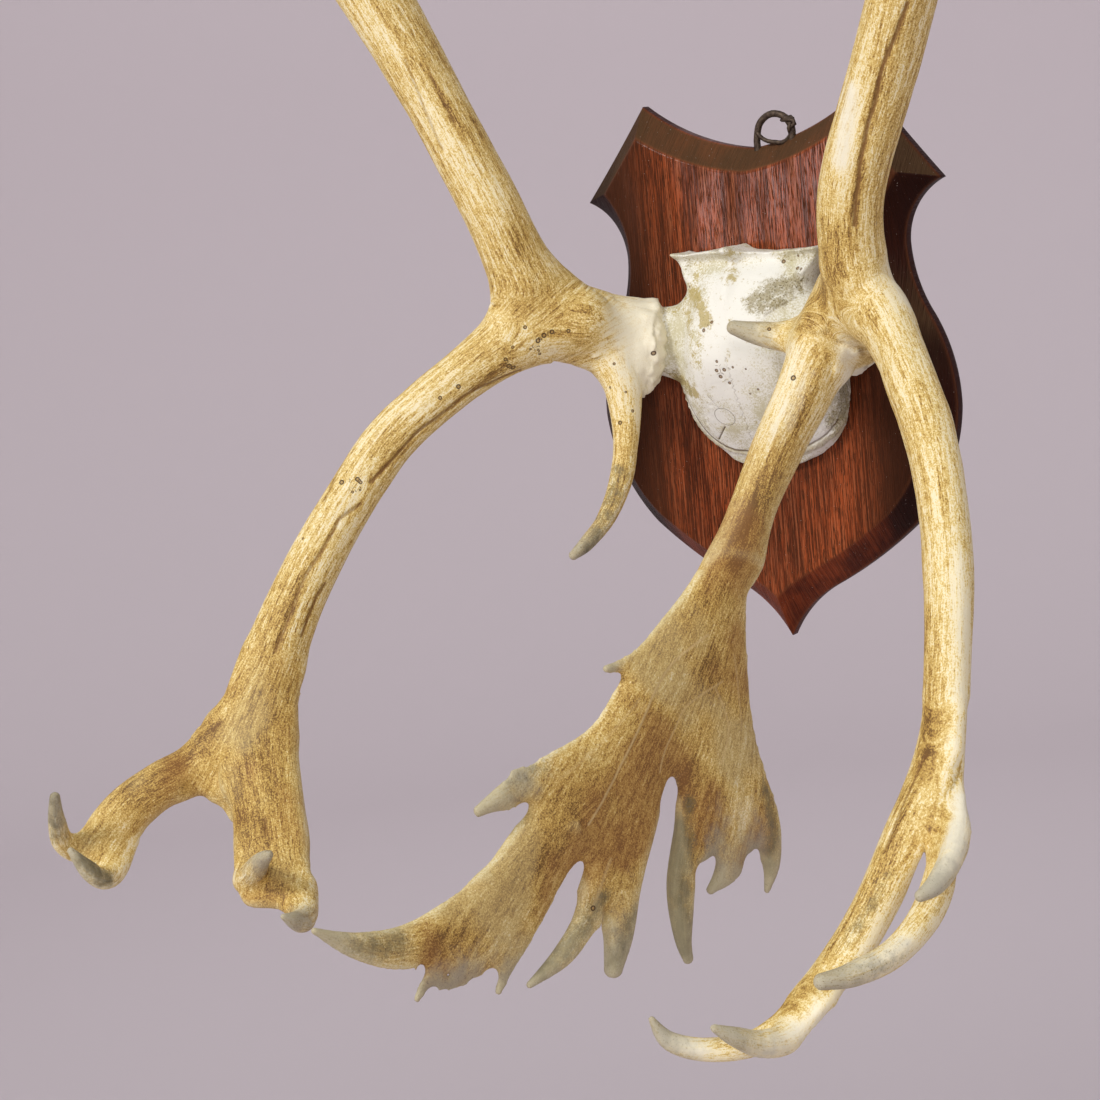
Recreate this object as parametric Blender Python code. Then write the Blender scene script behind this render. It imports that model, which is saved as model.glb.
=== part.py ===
"""Caribou skull mount: a skull cap and its two antlers on a shield-shaped wall plaque.

The frame has its origin on the plaque's back face, at the plaque's centre.
+Z is up the wall, +Y goes into the wall, and the antlers reach out along -Y.
Left and right are as seen by someone who faces the mount.
Sizes are in millimetres in the tables below, and in metres in the meshes.
"""

import math

import bmesh
import bpy
from mathutils import Vector

MM = 0.001
GAP = 0.3            # clearance between touching pieces

# Plaque
PLAQUE_THICKNESS = 26.0
PLAQUE_EDGE = 8.0            # square edge left behind the chamfer
CHAMFER_INSET = 14.5
PEAK = (79.0, 174.0)         # the two horns of the top edge
CORNER = (126.0, 115.0)
WAIST = (100.0, 77.0)
BELLY = (127.0, -26.0)
TIP_Z = -174.0
TOP_DIP_Z = 142.0            # lowest point of the hollow top edge

# Wire hanging loop
WIRE_RADIUS = 2.2
LOOP_Y = -9.0
DRILL_REACH = 30.0           # the drill starts well above the top edge
LOOP_ROUTE = [
    (3.0, 133.0), (3.0, 140.0), (3.0, 148.0), (6.0, 157.0), (14.0, 162.0),
    (23.0, 160.0), (28.0, 153.0), (28.0, 146.0), (28.0, 136.0),
]

# Skull cap
SKULL_X = 7.0                # the cap sits a little right of the plaque's centre
ANTLER_X = 5.0               # mirror plane of the two antlers
CAP_BACK = -(PLAQUE_THICKNESS + GAP)
CAP_CENTRE_Z = 14.0
CAP_OUTLINE = [              # right half from the crest down, then the left half up
    (0, 86), (18, 83), (36, 82), (51, 81), (48, 71), (44, 60), (46, 50),
    (52, 36), (55, 18), (55, 0), (55, -16), (50, -32), (39, -46), (22, -55),
    (3, -58), (-16, -56), (-32, -47), (-43, -34), (-50, -18), (-52, 0),
    (-52, 18), (-49, 36), (-46, 50), (-45, 60), (-48, 71), (-50, 80),
    (-34, 82), (-16, 84),
]
CAP_CROWN = [                # height of the bone over the plaque, down the middle line
    (86, 27), (62, 36), (38, 45), (16, 49), (-8, 40), (-34, 26), (-58, 8),
]
CAP_RIM = [(86, 20), (60, 12), (20, 14), (-30, 7), (-58, 5)]
CAP_RINGS = [0.93, 0.8, 0.6, 0.35]
PEDICLE_SIDES = 14
PEDICLE_HALF = (24, 13)      # half height and half depth of the antler stumps
PEDICLE_ROOT = 18            # where a stump starts, off the cap's middle
PEDICLE_NECK = 14
PEDICLE_OVERRUN = 4
BURR_END = 4.0               # the stretch of antler that the skull is cut back for

# Antlers. A limb is a list of (x, y, z, half width, half thickness), and the
# flat direction is the way that its thickness runs.
LEFT_BEAM = [
    (-60, -48, 22, 26, 22), (-67, -53, 24, 31, 26), (-75, -60, 29, 28, 23),
    (-87, -74, 37, 25, 21), (-97, -92, 46, 26, 21), (-105, -109, 61, 25, 20),
    (-110, -119, 84, 21, 19), (-119, -131, 124, 19, 19), (-145, -143, 190, 19, 18),
    (-173, -156, 253, 22, 19),
]
RIGHT_BEAM = [
    (70, -48, 22, 26, 22), (77, -53, 24, 31, 26), (85, -60, 28, 28, 23),
    (97, -74, 36, 25, 21), (107, -92, 45, 26, 21), (114, -109, 58, 24, 20),
    (118, -119, 79, 20, 19), (128, -131, 121, 19, 19), (159, -143, 190, 20, 19),
    (188, -157, 253, 22, 19),
]
UPPER_BEAM = [               # right side; the left side is its mirror image
    (216, -172, 322, 22, 18), (244, -191, 400, 23, 17), (272, -221, 478, 25, 15),
    (296, -263, 552, 29, 13), (310, -314, 614, 31, 11), (314, -370, 660, 28, 10),
    (308, -426, 690, 22, 9), (296, -476, 700, 13, 8), (286, -516, 696, 4, 4),
]
CROWN_POINTS = [
    [(290, -252, 532, 18, 11), (302, -258, 590, 15, 9), (310, -252, 650, 10, 8),
     (312, -240, 704, 3, 3)],
    [(302, -288, 584, 18, 11), (312, -314, 652, 15, 9), (316, -326, 722, 10, 8),
     (312, -326, 784, 3, 3)],
    [(310, -334, 628, 18, 10), (316, -366, 696, 15, 9), (314, -386, 764, 10, 8),
     (306, -392, 824, 3, 3)],
    [(312, -386, 668, 16, 10), (312, -424, 726, 13, 8), (304, -446, 778, 8, 7),
     (294, -458, 822, 3, 3)],
    [(304, -440, 694, 12, 9), (298, -478, 732, 9, 7), (288, -500, 770, 3, 3)],
]
BACK_TINE = [
    (244, -190, 400, 15, 12), (250, -166, 428, 12, 10), (256, -142, 458, 8, 8),
    (258, -120, 486, 3, 3),
]
LEFT_BEZ = [
    (-84, -97, 46, 20, 18), (-105, -112, 47, 25, 19), (-121, -127, 37, 20, 17),
    (-138, -146, 22, 16, 14), (-158, -168, 3, 15, 13), (-177, -189, -19, 15, 12),
    (-195, -217, -57, 15, 13), (-205, -240, -87, 16, 13), (-211, -260, -114, 17, 13),
    (-215, -277, -141, 20, 13), (-220, -290, -168, 23, 12),
]
RIGHT_BEZ = [
    (96, -100, 50, 20, 18), (116, -112, 54, 21, 18), (135, -123, 42, 19, 17),
    (153, -144, 26, 17, 14), (171, -167, 7, 17, 14), (187, -186, -14, 17, 14),
    (204, -212, -45, 16, 13), (216, -236, -78, 16, 13), (224, -259, -111, 15, 12),
    (228, -275, -137, 16, 11), (231, -290, -164, 17, 11),
]
LEFT_OUTER_PRONG = [
    (-214, -280, -146, 18, 12), (-231, -296, -174, 18, 12), (-251, -313, -195, 16, 11),
    (-262, -335, -201, 14, 10), (-272, -352, -211, 15, 9), (-277, -366, -221, 16, 9),
    (-279, -378, -232, 15, 8),
]
LEFT_OUTER_TIPS = [
    [(-276, -364, -222, 11, 8), (-288, -377, -231, 9, 8), (-291, -392, -223, 7, 6),
     (-285, -403, -205, 5, 5), (-279, -408, -190, 3, 3)],
    [(-273, -364, -229, 10, 8), (-270, -378, -243, 8, 7), (-268, -390, -244, 6, 6),
     (-270, -399, -235, 5, 5), (-275, -405, -223, 2, 2)],
]
LEFT_INNER_PRONG = [
    (-216, -284, -156, 22, 12), (-212, -300, -188, 23, 12), (-194, -321, -216, 23, 11),
    (-179, -338, -232, 23, 10), (-169, -350, -245, 23, 9), (-163, -358, -253, 20, 8),
]
LEFT_INNER_TIPS = [
    [(-190, -343, -249, 12, 9), (-183, -357, -247, 9, 8), (-167, -370, -237, 7, 7),
     (-153, -379, -227, 5, 5), (-141, -386, -220, 3, 3)],
    [(-152, -348, -255, 13, 10), (-138, -362, -262, 11, 9), (-130, -376, -261, 8, 8),
     (-127, -388, -256, 6, 6), (-127, -396, -252, 3, 3)],
]
RIGHT_OUTER_PRONG = [
    (231, -284, -158, 14, 10), (236, -298, -182, 12, 9), (243, -325, -206, 10, 8),
    (245, -350, -226, 9, 8), (239, -375, -240, 8, 7), (227, -398, -245, 7, 6),
    (217, -412, -245, 4, 4),
]
RIGHT_OUTER_TIPS = [
    [(233, -292, -170, 9, 9), (245, -306, -186, 7, 7), (253, -326, -196, 7, 7),
     (256, -345, -204, 6, 6), (255, -360, -210, 5, 5), (251, -369, -213, 3, 3)],
]
RIGHT_INNER_PRONG = [
    (229, -282, -156, 18, 11), (226, -300, -178, 18, 10), (220, -320, -203, 14, 10),
    (213, -340, -229, 13, 10), (203, -360, -254, 13, 9), (192, -380, -272, 12, 9),
]
RIGHT_INNER_TIPS = [
    [(198, -370, -264, 10, 8), (188, -394, -282, 9, 8), (181, -412, -281, 7, 7),
     (175, -426, -273, 5, 5), (169, -435, -266, 2, 2)],
    [(196, -374, -268, 10, 8), (170, -391, -288, 7, 7), (146, -403, -292, 6, 6),
     (130, -413, -286, 5, 5), (124, -419, -273, 2, 2)],
]
LEFT_BROW = [
    (-77, -76, 30, 20, 17), (-70, -79, 10, 14, 13), (-66, -83, -8, 11, 10),
    (-63, -91, -32, 8, 8), (-62, -103, -55, 7, 7), (-64, -121, -76, 6, 6),
    (-69, -137, -88, 5, 5), (-73, -148, -94, 3, 3),
]
RIGHT_SPUR = [
    (96, -96, 44, 24, 14), (75, -97, 33, 14, 10), (58, -100, 32, 8, 7),
    (44, -106, 35, 5, 5), (31, -113, 40, 3, 3),
]
SHOVEL_RIB = [
    (94, -92, 44, 24, 19), (86, -103, 24, 21, 17), (78, -118, -2, 18, 15),
    (69, -140, -32, 16, 13), (61, -156, -60, 15, 12), (56, -173, -87, 17, 11),
    (47, -196, -111, 20, 10), (34, -230, -149, 26, 9), (20, -266, -185, 29, 8),
    (5, -306, -217, 26, 7), (-10, -344, -241, 22, 7), (-24, -378, -253, 17, 6),
    (-36, -408, -256, 12, 5), (-45, -435, -247, 7, 4), (-53, -458, -232, 2, 2),
]
SHOVEL_POINTS = [            # from the front edge round to the back edge
    [(48, -196, -110, 14, 8), (33, -230, -131, 11, 6), (25, -254, -135, 6, 4),
     (20, -268, -134, 2, 2)],
    [(36, -225, -144, 18, 8), (15, -274, -174, 13, 7), (2, -311, -186, 12, 6),
     (-6, -335, -189, 9, 5), (-11, -348, -192, 5, 4), (-16, -360, -196, 2, 2)],
    [(-17, -362, -248, 13, 6), (-25, -382, -267, 7, 5), (-30, -396, -279, 4, 4),
     (-33, -404, -287, 2, 2)],
    [(-4, -330, -244, 16, 6), (-14, -354, -271, 10, 5), (-21, -372, -283, 6, 4),
     (-29, -392, -287, 3, 3)],
    [(2, -314, -230, 19, 7), (-6, -335, -264, 11, 6), (-11, -347, -285, 5, 4),
     (-14, -355, -298, 2, 2)],
    [(28, -246, -178, 20, 8), (18, -272, -222, 17, 7), (13, -286, -254, 12, 6),
     (8, -300, -273, 8, 5), (2, -315, -289, 6, 5), (-6, -336, -299, 2, 2)],
    [(33, -230, -172, 17, 8), (26, -250, -214, 17, 7), (20, -265, -256, 14, 7),
     (17, -275, -288, 9, 6), (14, -283, -311, 6, 5)],
    [(52, -182, -103, 16, 10), (45, -200, -150, 16, 8), (40, -215, -198, 11, 7),
     (36, -226, -236, 9, 7), (33, -233, -270, 9, 6), (33, -233, -302, 6, 5),
     (33, -231, -320, 3, 3)],
    [(50, -187, -160, 16, 8), (49, -191, -215, 19, 7), (49, -190, -252, 15, 6),
     (46, -197, -270, 7, 5), (41, -210, -280, 3, 3)],
    [(54, -178, -105, 13, 9), (51, -185, -158, 15, 8), (52, -180, -208, 17, 7),
     (57, -168, -246, 12, 6), (58, -166, -274, 6, 5), (56, -170, -291, 2, 2)],
]
BEAM_FLAT = (0.9, 0.4, 0.0)      # right side
PRONG_FLAT = (0.5, 0.87, 0.0)    # right side
SHOVEL_FLAT = (0.92, -0.39, 0.0)

# Where the antlers are parted, as a place along a limb's rows
BEAM_SAW = 6.4
CROWN_SAW = 12.4
BEZ_SAW = 2.3
BROW_SAW = 1.6
SHOVEL_SAW = 1.6
PRONG_SAW = 2.0
FORKED_PRONG_SAW = 2.8       # beyond the small tip of the right outer prong
BACK_TINE_SAW = 0.9

BEAM_SIDES = 12
LIMB_SIDES = 10
POINT_SIDES = 8
TIP_SIDES = 6


def clear_scene():
    for item in list(bpy.data.objects):
        bpy.data.objects.remove(item)


def finish_material(name, colour, roughness, metallic=0.0):
    material = bpy.data.materials.new(name)
    material.use_nodes = True
    shader = material.node_tree.nodes["Principled BSDF"]
    shader.inputs["Base Color"].default_value = (*colour, 1.0)
    shader.inputs["Roughness"].default_value = roughness
    shader.inputs["Metallic"].default_value = metallic
    return material


def mirrored(rows):
    return [(2 * ANTLER_X - row[0], *row[1:]) for row in rows]


def mirrored_direction(direction):
    return (-direction[0], direction[1], direction[2])


def along(rows, place):
    """The row at a fractional place, on a Catmull-Rom curve through the rows."""
    last = len(rows) - 1
    start = min(int(place), last - 1)
    part = place - start
    before = rows[max(start - 1, 0)]
    here = rows[start]
    after = rows[start + 1]
    beyond = rows[min(start + 2, last)]
    return tuple(
        0.5 * (2 * b + (c - a) * part + (2 * a - 5 * b + 4 * c - d) * part ** 2
               + (3 * b - a - 3 * c + d) * part ** 3)
        for a, b, c, d in zip(before, here, after, beyond)
    )


def heading(rows, place):
    """The unit direction in which the limb runs at a place, and its speed in mm."""
    step = 0.02
    low = max(place - step, 0.0)
    high = min(place + step, len(rows) - 1.0)
    run = Vector(along(rows, high)[:3]) - Vector(along(rows, low)[:3])
    return run.normalized(), run.length / (high - low)


def carried(through, flat, forward):
    """The thickness direction, carried along a limb and drawn towards its flat direction."""
    aim = flat - forward * flat.dot(forward)
    if through is None:
        return aim.normalized()
    kept = (through - forward * through.dot(forward)).normalized()
    return (kept + (aim if kept.dot(aim) > 0 else -aim)).normalized()


def ring(row, forward, through, sides):
    """One elliptical section of a limb, anticlockwise about its heading."""
    x, y, z, wide, thin = row
    across = through.cross(forward)
    points = []
    for index in range(sides):
        turn = 2 * math.pi * index / sides
        offset = across * (wide * math.cos(turn)) + through * (thin * math.sin(turn))
        points.append((Vector((x, y, z)) + offset) * MM)
    return points


def limb(rows, flat, sides, first=0.0, last=None, spans=1):
    """A closed tapered tube over part of a limb, pointed where the limb ends."""
    end = len(rows) - 1.0
    stop = end if last is None else last
    margin = 0.2 / spans
    steps = [k / spans for k in range(int(end * spans) + 1)]
    places = [first]
    places += [place for place in steps if first + margin < place < stop - margin]
    places += [stop]
    mesh = bmesh.new()
    rings = []
    through = None
    for place in places:
        forward, _ = heading(rows, place)
        through = carried(through, Vector(flat).normalized(), forward)
        points = ring(along(rows, place), forward, through, sides)
        rings.append([mesh.verts.new(point) for point in points])
    for low, high in zip(rings, rings[1:]):
        for index in range(sides):
            after = (index + 1) % sides
            mesh.faces.new((low[index], low[after], high[after], high[index]))
    mesh.faces.new(list(reversed(rings[0])))
    if last is None:
        tip = Vector(rows[-1][:3]) + forward * rows[-1][4]
        point = mesh.verts.new(tip * MM)
        for index in range(sides):
            mesh.faces.new((rings[-1][index], rings[-1][(index + 1) % sides], point))
    else:
        mesh.faces.new(rings[-1])
    return mesh


def saw(rows, place):
    """The two sides of a saw cut across a limb, as places just before and after it."""
    _, speed = heading(rows, place)
    half = 0.5 * GAP / speed
    return place - half, place + half


def new_object(name, mesh):
    """An object that takes over a bmesh."""
    data = bpy.data.meshes.new(name)
    mesh.to_mesh(data)
    mesh.free()
    item = bpy.data.objects.new(name, data)
    bpy.context.scene.collection.objects.link(item)
    return item


def combine(name, meshes, operation="UNION"):
    """One object from several closed shapes, by exact Booleans on the first."""
    item = new_object(name, meshes[0])
    tools = []
    for index, mesh in enumerate(meshes[1:]):
        tool = new_object(f"{name}_tool_{index}", mesh)
        cut = item.modifiers.new(f"join_{index}", "BOOLEAN")
        cut.operation = operation
        cut.solver = "EXACT"
        cut.use_self = True
        cut.object = tool
        tools.append(tool)
    bpy.context.view_layer.update()
    evaluated = item.evaluated_get(bpy.context.evaluated_depsgraph_get())
    data = bpy.data.meshes.new_from_object(evaluated)
    item.modifiers.clear()
    item.data = data
    data.name = name
    for tool in tools:
        bpy.data.objects.remove(tool)
    return item


def dress(item, material, crease=40.0):
    item.data.materials.clear()
    item.data.materials.append(material)
    item.data.shade_smooth()
    item.data.set_sharp_from_angle(angle=math.radians(crease))


def arc(start, end, bulge, count):
    """Points from start up to end, on an arc that bows to the left by bulge."""
    ax, az = start
    bx, bz = end
    chord = math.hypot(bx - ax, bz - az)
    if abs(bulge) < 1e-6:
        return [start]
    radius = (chord * chord / 4 + bulge * bulge) / (2 * abs(bulge))
    half = math.asin(min(1.0, chord / 2 / radius))
    side = math.copysign(1.0, bulge)
    ux, uz = (bx - ax) / chord, (bz - az) / chord
    nx, nz = -uz * side, ux * side
    cx = (ax + bx) / 2 - nx * (radius - abs(bulge))
    cz = (az + bz) / 2 - nz * (radius - abs(bulge))
    points = []
    for index in range(count):
        turn = -half + 2 * half * index / count
        points.append((
            cx + nx * radius * math.cos(turn) + ux * radius * math.sin(turn),
            cz + nz * radius * math.cos(turn) + uz * radius * math.sin(turn),
        ))
    return points


def plaque_outline():
    """The shield's outline, from the top dip clockwise as seen from the front."""
    half = []
    half += arc((0.0, TOP_DIP_Z), PEAK, -6.0, 8)
    half += [PEAK]
    half += arc(CORNER, WAIST, -7.0, 6)
    half += arc(WAIST, (113.0, 32.0), -3.0, 4)
    half += arc((113.0, 32.0), BELLY, 4.0, 5)
    half += arc(BELLY, (94.0, -99.0), 7.0, 6)
    half += arc((94.0, -99.0), (36.0, -139.0), 2.0, 5)
    half += arc((36.0, -139.0), (0.0, TIP_Z), -4.0, 6)
    mirror = [(-x, z) for x, z in reversed(half[1:])]
    return half + [(0.0, TIP_Z)] + mirror


def inset(outline, distance):
    """The outline moved inwards by a distance, with mitred corners."""
    count = len(outline)
    moved = []
    for index in range(count):
        before = Vector(outline[index - 1])
        here = Vector(outline[index])
        after = Vector(outline[(index + 1) % count])
        run_in = (here - before).normalized()
        run_out = (after - here).normalized()
        normal_in = Vector((run_in.y, -run_in.x))
        normal_out = Vector((run_out.y, -run_out.x))
        mitre = (normal_in + normal_out).normalized()
        reach = distance / max(mitre.dot(normal_in), 0.35)
        moved.append(tuple(here + mitre * reach))
    return moved


def plaque_mesh():
    """The board: a flat back, a square edge, a chamfer and a flat front."""
    outline = plaque_outline()
    face = inset(outline, CHAMFER_INSET)
    levels = [(0.0, outline), (-PLAQUE_EDGE, outline), (-PLAQUE_THICKNESS, face)]
    mesh = bmesh.new()
    rings = [[mesh.verts.new((x * MM, y * MM, z * MM)) for x, z in points]
             for y, points in levels]
    count = len(outline)
    for back, front in zip(rings, rings[1:]):
        for index in range(count):
            after = (index + 1) % count
            mesh.faces.new((back[index], back[after], front[after], front[index]))
    mesh.faces.new(rings[0])
    mesh.faces.new(list(reversed(rings[-1])))
    bmesh.ops.recalc_face_normals(mesh, faces=mesh.faces)
    return mesh


def rod(x, y, low, high, radius, sides=12):
    """An upright round rod, used to drill the holes for the wire."""
    mesh = bmesh.new()
    rings = []
    for z in (low, high):
        rings.append([
            mesh.verts.new((
                (x + radius * math.cos(2 * math.pi * k / sides)) * MM,
                (y + radius * math.sin(2 * math.pi * k / sides)) * MM,
                z * MM,
            ))
            for k in range(sides)
        ])
    for index in range(sides):
        after = (index + 1) % sides
        mesh.faces.new((rings[0][index], rings[0][after], rings[1][after], rings[1][index]))
    mesh.faces.new(list(reversed(rings[0])))
    mesh.faces.new(rings[1])
    bmesh.ops.recalc_face_normals(mesh, faces=mesh.faces)
    return mesh


def build_plaque(material):
    meshes = [plaque_mesh()]
    for x, z in (LOOP_ROUTE[0], LOOP_ROUTE[-1]):
        meshes.append(rod(x, LOOP_Y, z - GAP, z + DRILL_REACH, WIRE_RADIUS + 2 * GAP))
    item = combine("plaque", meshes, "DIFFERENCE")
    dress(item, material, 20.0)


def build_hanger(material):
    rows = [(x, LOOP_Y, z, WIRE_RADIUS, WIRE_RADIUS) for x, z in LOOP_ROUTE]
    mesh = limb(rows, (0.0, 1.0, 0.0), POINT_SIDES, 0.0, len(rows) - 1.0, spans=3)
    item = combine("hanger_loop", [mesh])
    dress(item, material)


def profile(table, place):
    """A value read from (place, value) pairs with falling places, smoothly."""
    if place >= table[0][0]:
        return table[0][1]
    for (high, first), (low, second) in zip(table, table[1:]):
        if place >= low:
            part = (high - place) / (high - low)
            blend = part * part * (3 - 2 * part)
            return first + (second - first) * blend
    return table[-1][1]


def cap_mesh():
    """The domed bone: a flat sawn back, an upright rim and a domed front."""
    mesh = bmesh.new()

    def loop(share, lift):
        points = []
        for x, z in CAP_OUTLINE:
            px = SKULL_X + x * share
            pz = CAP_CENTRE_Z + (z - CAP_CENTRE_Z) * share
            height = 0.0
            if lift:
                rim = profile(CAP_RIM, pz)
                crown = profile(CAP_CROWN, pz)
                dome = math.sqrt(max(0.0, 1 - share ** 3))
                height = rim + (crown - rim) * dome
            points.append(mesh.verts.new((px * MM, (CAP_BACK - height) * MM, pz * MM)))
        return points

    loops = [loop(1.0, False), loop(1.0, True)]
    loops += [loop(share, True) for share in CAP_RINGS]
    count = len(CAP_OUTLINE)
    for low, high in zip(loops, loops[1:]):
        for index in range(count):
            after = (index + 1) % count
            mesh.faces.new((low[index], low[after], high[after], high[index]))
    mesh.faces.new(loops[0])
    top = CAP_BACK - profile(CAP_CROWN, CAP_CENTRE_Z)
    centre = mesh.verts.new((SKULL_X * MM, top * MM, CAP_CENTRE_Z * MM))
    for index in range(count):
        mesh.faces.new((loops[-1][index], loops[-1][(index + 1) % count], centre))
    bmesh.ops.recalc_face_normals(mesh, faces=mesh.faces)
    return mesh


def swollen(rows):
    """The limb grown by the clearance all round and at its start."""
    forward, _ = heading(rows, 0.0)
    start = Vector(rows[0][:3]) - forward * GAP
    moved = [(*start, *rows[0][3:])] + list(rows[1:])
    return [(x, y, z, wide + GAP, thin + GAP) for x, y, z, wide, thin in moved]


def pedicle_rows(beam, outward):
    """The bone stump that runs from inside the cap into the burr's place."""
    forward, _ = heading(beam, 0.0)
    root = Vector(beam[0][:3])
    neck = root - forward * PEDICLE_NECK
    end = root + forward * PEDICLE_OVERRUN
    return [
        (SKULL_X + outward * PEDICLE_ROOT, neck.y, neck.z, *PEDICLE_HALF),
        (*neck, *PEDICLE_HALF),
        (*end, *PEDICLE_HALF),
    ]


def build_skull(material):
    solid = [cap_mesh()]
    burrs = []
    for beam, outward, flat in ((LEFT_BEAM, -1, mirrored_direction(BEAM_FLAT)),
                                (RIGHT_BEAM, 1, BEAM_FLAT)):
        rows = pedicle_rows(beam, outward)
        solid.append(limb(rows, (0.0, 1.0, 0.0), PEDICLE_SIDES, 0.0, 2.0, spans=2))
        burrs.append(limb(swollen(beam), flat, BEAM_SIDES, 0.0, BURR_END, spans=2))
    whole = combine("skull_whole", solid)
    cut = bmesh.new()
    cut.from_mesh(whole.data)
    bpy.data.objects.remove(whole)
    dress(combine("skull_cap", [cut] + burrs, "DIFFERENCE"), material)


def build_shaft(side, beam, bez, brow, brow_flat, spur, bone):
    """The burr, the beam, the bez tine and what is sawn off at the root of each."""
    right = side == "right"
    mirror = (lambda rows: rows) if right else mirrored
    turn = (lambda flat: flat) if right else mirrored_direction
    flat = turn(BEAM_FLAT)
    fork_flat = turn(PRONG_FLAT)
    whole = beam + mirror(UPPER_BEAM)
    brow_saw = SHOVEL_SAW if right else BROW_SAW
    beam_cut = saw(whole, BEAM_SAW)
    crown_cut = saw(whole, CROWN_SAW)
    bez_cut = saw(bez, BEZ_SAW)
    brow_cut = saw(brow, brow_saw)

    base = [
        limb(whole, flat, BEAM_SIDES, 0.0, beam_cut[0], spans=2),
        limb(bez, fork_flat, LIMB_SIDES, 0.0, bez_cut[0], spans=2),
        limb(brow, brow_flat, LIMB_SIDES, 0.0, brow_cut[0], spans=2),
    ]
    if spur:
        base.append(limb(spur, flat, TIP_SIDES))
    dress(combine(f"{side}_antler_base", base), bone)

    back = mirror(BACK_TINE)
    back_cut = saw(back, BACK_TINE_SAW)
    shaft = [
        limb(whole, flat, BEAM_SIDES, beam_cut[1], crown_cut[0]),
        limb(back, flat, POINT_SIDES, 0.0, back_cut[0]),
    ]
    dress(combine(f"{side}_beam", shaft), bone)
    tine = [limb(back, flat, POINT_SIDES, back_cut[1])]
    dress(combine(f"{side}_back_tine", tine), bone)

    crown = [limb(whole, flat, LIMB_SIDES, crown_cut[1])]
    for point in CROWN_POINTS:
        crown.append(limb(mirror(point), flat, POINT_SIDES))
    dress(combine(f"{side}_crown", crown), bone)
    return bez_cut, brow_cut


def build_bez(side, bez, bez_cut, outer, outer_tips, inner, inner_tips, bone):
    """The bez tine down to its fork, and the two prongs beyond the fork."""
    flat = PRONG_FLAT if side == "right" else mirrored_direction(PRONG_FLAT)
    outer_cut = saw(outer, FORKED_PRONG_SAW if side == "right" else PRONG_SAW)
    inner_cut = saw(inner, PRONG_SAW)
    stem = [
        limb(bez, flat, LIMB_SIDES, bez_cut[1], len(bez) - 1.0),
        limb(outer, flat, POINT_SIDES, 0.0, outer_cut[0]),
        limb(inner, flat, POINT_SIDES, 0.0, inner_cut[0]),
    ]
    if side == "right":
        stem.append(limb(outer_tips[0], flat, TIP_SIDES))
        outer_tips = outer_tips[1:]
    dress(combine(f"{side}_bez_tine", stem), bone)
    for name, rows, cut, tips in (("outer", outer, outer_cut, outer_tips),
                                  ("inner", inner, inner_cut, inner_tips)):
        prong = [limb(rows, flat, POINT_SIDES, cut[1])]
        prong += [limb(tip, flat, TIP_SIDES) for tip in tips]
        dress(combine(f"{side}_bez_{name}_prong", prong), bone)


def main():
    clear_scene()
    wood = finish_material("mahogany", (0.13, 0.035, 0.018), 0.42)
    iron = finish_material("dark_iron", (0.05, 0.035, 0.03), 0.55, 0.8)
    white_bone = finish_material("skull_bone", (0.72, 0.69, 0.6), 0.7)
    antler = finish_material("antler", (0.6, 0.45, 0.24), 0.6)

    build_plaque(wood)
    build_hanger(iron)
    build_skull(white_bone)

    brow_flat = mirrored_direction(BEAM_FLAT)
    bez_cut, brow_cut = build_shaft(
        "left", LEFT_BEAM, LEFT_BEZ, LEFT_BROW, brow_flat, None, antler)
    brow_tine = [limb(LEFT_BROW, brow_flat, LIMB_SIDES, brow_cut[1])]
    dress(combine("left_brow_tine", brow_tine), antler)
    build_bez("left", LEFT_BEZ, bez_cut, LEFT_OUTER_PRONG, LEFT_OUTER_TIPS,
              LEFT_INNER_PRONG, LEFT_INNER_TIPS, antler)

    bez_cut, brow_cut = build_shaft(
        "right", RIGHT_BEAM, RIGHT_BEZ, SHOVEL_RIB, SHOVEL_FLAT, RIGHT_SPUR, antler)
    shovel = [limb(SHOVEL_RIB, SHOVEL_FLAT, LIMB_SIDES, brow_cut[1])]
    shovel += [limb(point, SHOVEL_FLAT, POINT_SIDES) for point in SHOVEL_POINTS]
    dress(combine("right_brow_shovel", shovel), antler)
    build_bez("right", RIGHT_BEZ, bez_cut, RIGHT_OUTER_PRONG, RIGHT_OUTER_TIPS,
              RIGHT_INNER_PRONG, RIGHT_INNER_TIPS, antler)


main()
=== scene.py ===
"""Looks of the caribou skull mount: two antlers, the skull cap, the plaque and its wire loop.

Every piece is worked out in millimetres in the frame's own axes and written to its mesh in
metres. +Z is up the wall, +Y goes into the wall and the antlers reach out along -Y.
"""

import itertools
import math

import bpy
import numpy as np
from mathutils import Matrix, Vector


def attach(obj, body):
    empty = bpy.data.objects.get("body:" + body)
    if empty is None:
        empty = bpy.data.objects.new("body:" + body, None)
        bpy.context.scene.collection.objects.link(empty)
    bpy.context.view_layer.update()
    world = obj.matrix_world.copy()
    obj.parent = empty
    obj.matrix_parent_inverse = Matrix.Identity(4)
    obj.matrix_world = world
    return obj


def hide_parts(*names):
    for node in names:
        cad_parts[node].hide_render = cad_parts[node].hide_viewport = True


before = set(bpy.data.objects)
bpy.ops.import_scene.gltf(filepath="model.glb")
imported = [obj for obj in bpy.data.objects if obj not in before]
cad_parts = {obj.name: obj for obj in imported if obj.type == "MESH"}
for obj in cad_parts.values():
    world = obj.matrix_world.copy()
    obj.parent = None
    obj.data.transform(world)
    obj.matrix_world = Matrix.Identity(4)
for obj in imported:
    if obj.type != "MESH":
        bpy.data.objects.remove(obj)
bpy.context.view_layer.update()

MM = 0.001
FAR = 1000.0

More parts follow.
